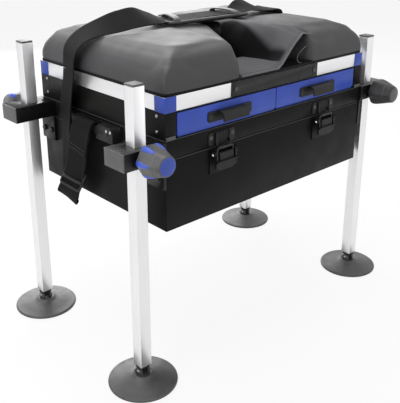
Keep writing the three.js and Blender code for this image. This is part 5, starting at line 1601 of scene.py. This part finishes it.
def make_keeper(place):
    """Screwed plate with two curved fins, a ribbed panel between them and a low hook under it."""
    across = np.linspace(-FIN_X[0], FIN_X[0], 71)
    ribs = RIB_OUT + RIB_DEPTH * np.cos(across * 2 * math.pi / RIB_PITCH)
    front = np.array([np.column_stack([across, np.full(71, up), ribs]) for up in RIB_LEVELS])
    front[[0, -1], :, 2] -= 1.0
    back = front.copy()
    back[..., 2] = 0.6
    pieces = [plate_skin(*KEEPER_PLATE, 5, -0.2, 1.8), sheet_skin(front, back)]
    pieces.append(band_skin(*HOOK_LINES, -FIN_X[0], FIN_X[0]))
    pieces += [band_skin(FIN_OUTER, FIN_INNER, side * FIN_X[0], side * FIN_X[1]) for side in (-1, 1)]
    obj = put_on_front("latch_keeper_plate_" + place, pieces, SIDES[place] * LATCH_X)
    settle(round_edges(obj, 0.35 * MM), "cabinet", "black_plastic", "latch_keeper_" + place)


def make_claw(place):
    """Wire loop that hooks on the keeper: two thin arms from the pin and a thick bar across their top."""
    foot = np.array([0, CLAW_PIVOT_UP, LATCH_PIVOT[0]])
    top = np.array([0, CLAW_BAR_UP, LATCH_PIVOT[0] + CLAW_LEAN])
    across, slope = np.array([1, 0, 0]), unit(top - foot)
    half = (CLAW_BAR_UP - CLAW_PIVOT_UP) / 2
    loop = loop_frame((foot + top) / 2, across, slope, CLAW_HALF_WIDTH, half, CLAW_WIRE, CLAW_CORNER)
    bar_path = np.linspace(-CLAW_BAR_HALF, CLAW_BAR_HALF, 6)[:, None] * across + top
    bar = sweep(bar_path, [0, 1, 0], UP, ellipse(CLAW_BAR_RADIUS, CLAW_BAR_RADIUS))
    obj = put_on_front("latch_loop_" + place, [loop, bar], SIDES[place] * LATCH_X)
    settle(obj, place + "_claw", "black_plastic", "latch_claw_" + place, material="dark_plastic")


def make_lever(place):
    """Lever with two cheeks round the pin, an upper plate with two slots that the loop swings through, a
    ledge for the finger, and a rounded lower plate."""
    pieces = [band_skin(*LEVER_TOP, start, end) for start, end in LEVER_STRIPS]
    pieces.append(band_skin(*LEVER_LEDGE, -LEVER_HALF, LEVER_HALF))
    pieces.append(plate_skin(*LEVER_PLATE, [1, 1, 8, 8], 10.0, 12.4))
    out, up = np.array(CHEEK).T
    for side in (-1, 1):
        rows = [np.column_stack([np.full(len(up), side * x), up, out]) for x in CHEEK_X]
        pieces.append(ring_skin(np.array(rows)))
    obj = put_on_front("latch_handle_" + place, pieces, SIDES[place] * LATCH_X)
    settle(round_edges(obj, 0.4 * MM), place + "_lever", "black_plastic", "latch_lever_" + place)


def make_latch_pins():
    """Bright ends of the pins in the latch ears."""
    out, up = LATCH_PIVOT
    spots = [(side * LATCH_X + end * LATCH_PIN_X * MM, -HALF_DEPTH - out * MM, up * MM, end)
             for side in SIDES.values() for end in (-1, 1)]
    ends = [dome(spot, (end, 0, 0), 2.1 * MM, 1.6 * MM) for *spot, end in spots]
    settle(put("latch_pin_ends", *ends), "base", "steel", material="drawn_tube")


def make_pull(place):
    """Drawer pull: a screwed plate with round ends and a hollow hump for the fingers, open below and at its
    ends."""
    low, high = corners("drawer_pull_" + place)
    half = (high[0] - low[0]) / 2 / MM
    plate = plate_skin((-half, PULL_UP[0]), (half, PULL_UP[1]), 4, -0.2, 2.0)
    hump = band_skin(PULL_OUTER, PULL_INNER, -PULL_HALF, PULL_HALF)
    obj = put_on_front("pull_" + place, [plate, hump], (low[0] + high[0]) / 2)
    settle(round_edges(obj, 0.6 * MM), place + "_drawer", "black_plastic", "drawer_pull_" + place)


# Operators, one for each group of pieces


class StageOperator(bpy.types.Operator):
    """Adds the camera, lamps, sky and floor"""

    bl_idname = "seatbox.stage"
    bl_label = "Stage"

    def execute(self, context):
        context.scene.view_settings.view_transform = "Standard"
        aim_camera()
        for name, lamp in LAMPS.items():
            hang_lamp(name, **lamp)
        light_world()
        lay_floor()
        return {"FINISHED"}


class FinishesOperator(bpy.types.Operator):
    """Makes the finishes and dresses the firm pieces of the frame"""

    bl_idname = "seatbox.finishes"
    bl_label = "Finishes and firm pieces"

    def execute(self, context):
        make_finishes()
        dress_frame()
        return {"FINISHED"}


class CushionsOperator(bpy.types.Operator):
    """Makes the two padded cushions"""

    bl_idname = "seatbox.cushions"
    bl_label = "Cushions"

    def execute(self, context):
        for place in SIDES:
            make_cushion(place)
        make_linings()
        return {"FINISHED"}


class CoverOperator(bpy.types.Operator):
    """Makes the loose cover in the valley"""

    bl_idname = "seatbox.cover"
    bl_label = "Loose cover"

    def execute(self, context):
        make_flap()
        make_tape()
        return {"FINISHED"}


class WebbingOperator(bpy.types.Operator):
    """Makes the carry strap, its hanging ends and their sliders"""

    bl_idname = "seatbox.webbing"
    bl_label = "Webbing"

    def execute(self, context):
        make_strap("strap_over", STRAP_OVER, 420, "lid", "strap_over_seat")
        for place, side in SIDES.items():
            make_strap("hanging_strap_" + place, HANG_STATIONS, 300, "cabinet", "strap_hanging_" + place,
                       side, HANG_SQUARED)
            make_slider(place)
            make_tab(place)
        return {"FINISHED"}


class ShoulderPadOperator(bpy.types.Operator):
    """Makes the shoulder pad on the strap"""

    bl_idname = "seatbox.shoulder_pad"
    bl_label = "Shoulder pad"

    def execute(self, context):
        make_shoulder_pad()
        return {"FINISHED"}


class KnobsOperator(bpy.types.Operator):
    """Makes the clamp knobs"""

    bl_idname = "seatbox.knobs"
    bl_label = "Clamp knobs"

    def execute(self, context):
        for place in CORNERS:
            make_knob(place)
        return {"FINISHED"}


class FeetOperator(bpy.types.Operator):
    """Makes the mud feet"""

    bl_idname = "seatbox.feet"
    bl_label = "Mud feet"

    def execute(self, context):
        for place in CORNERS:
            make_foot(place)
        return {"FINISHED"}


class LatchesOperator(bpy.types.Operator):
    """Makes the latches and the drawer pulls"""

    bl_idname = "seatbox.latches"
    bl_label = "Latches and pulls"

    def execute(self, context):
        for place in SIDES:
            make_keeper(place)
            make_claw(place)
            make_lever(place)
            make_pull(place)
        make_latch_pins()
        return {"FINISHED"}


class FittingsOperator(bpy.types.Operator):
    """Makes the rivets, screws, clips, edge lines and plugs"""

    bl_idname = "seatbox.fittings"
    bl_label = "Small fittings"

    def execute(self, context):
        make_rivets()
        make_screws()
        make_clips()
        make_edge_lines()
        make_plugs()
        return {"FINISHED"}


OPERATORS = (
    StageOperator, FinishesOperator, CushionsOperator, CoverOperator, WebbingOperator, ShoulderPadOperator,
    KnobsOperator, FeetOperator, LatchesOperator, FittingsOperator,
)


class SeatBoxPanel(bpy.types.Panel):
    """Lists the seat box's pieces in the sidebar"""

    bl_label = "Seat box"
    bl_idname = "VIEW3D_PT_seat_box"
    bl_space_type = "VIEW_3D"
    bl_region_type = "UI"
    bl_category = "Seat box"

    def draw(self, context):
        for group in (context.scene.seat_box_sizes, context.scene.seat_box_colours):
            for name in group.__annotations__:
                self.layout.prop(group, name)
        for operator in OPERATORS:
            self.layout.operator(operator.bl_idname)


CLASSES = (SeatBoxSizes, SeatBoxColours, *OPERATORS, SeatBoxPanel)


def register():
    for item in CLASSES:
        bpy.utils.register_class(item)
    bpy.types.Scene.seat_box_sizes = bpy.props.PointerProperty(type=SeatBoxSizes)
    bpy.types.Scene.seat_box_colours = bpy.props.PointerProperty(type=SeatBoxColours)


def unregister():
    del bpy.types.Scene.seat_box_colours
    del bpy.types.Scene.seat_box_sizes
    for item in reversed(CLASSES):
        bpy.utils.unregister_class(item)


def main():
    register()
    for operator in OPERATORS:
        area, name = operator.bl_idname.split(".")
        getattr(getattr(bpy.ops, area), name)()


if __name__ == "__main__":
    main()
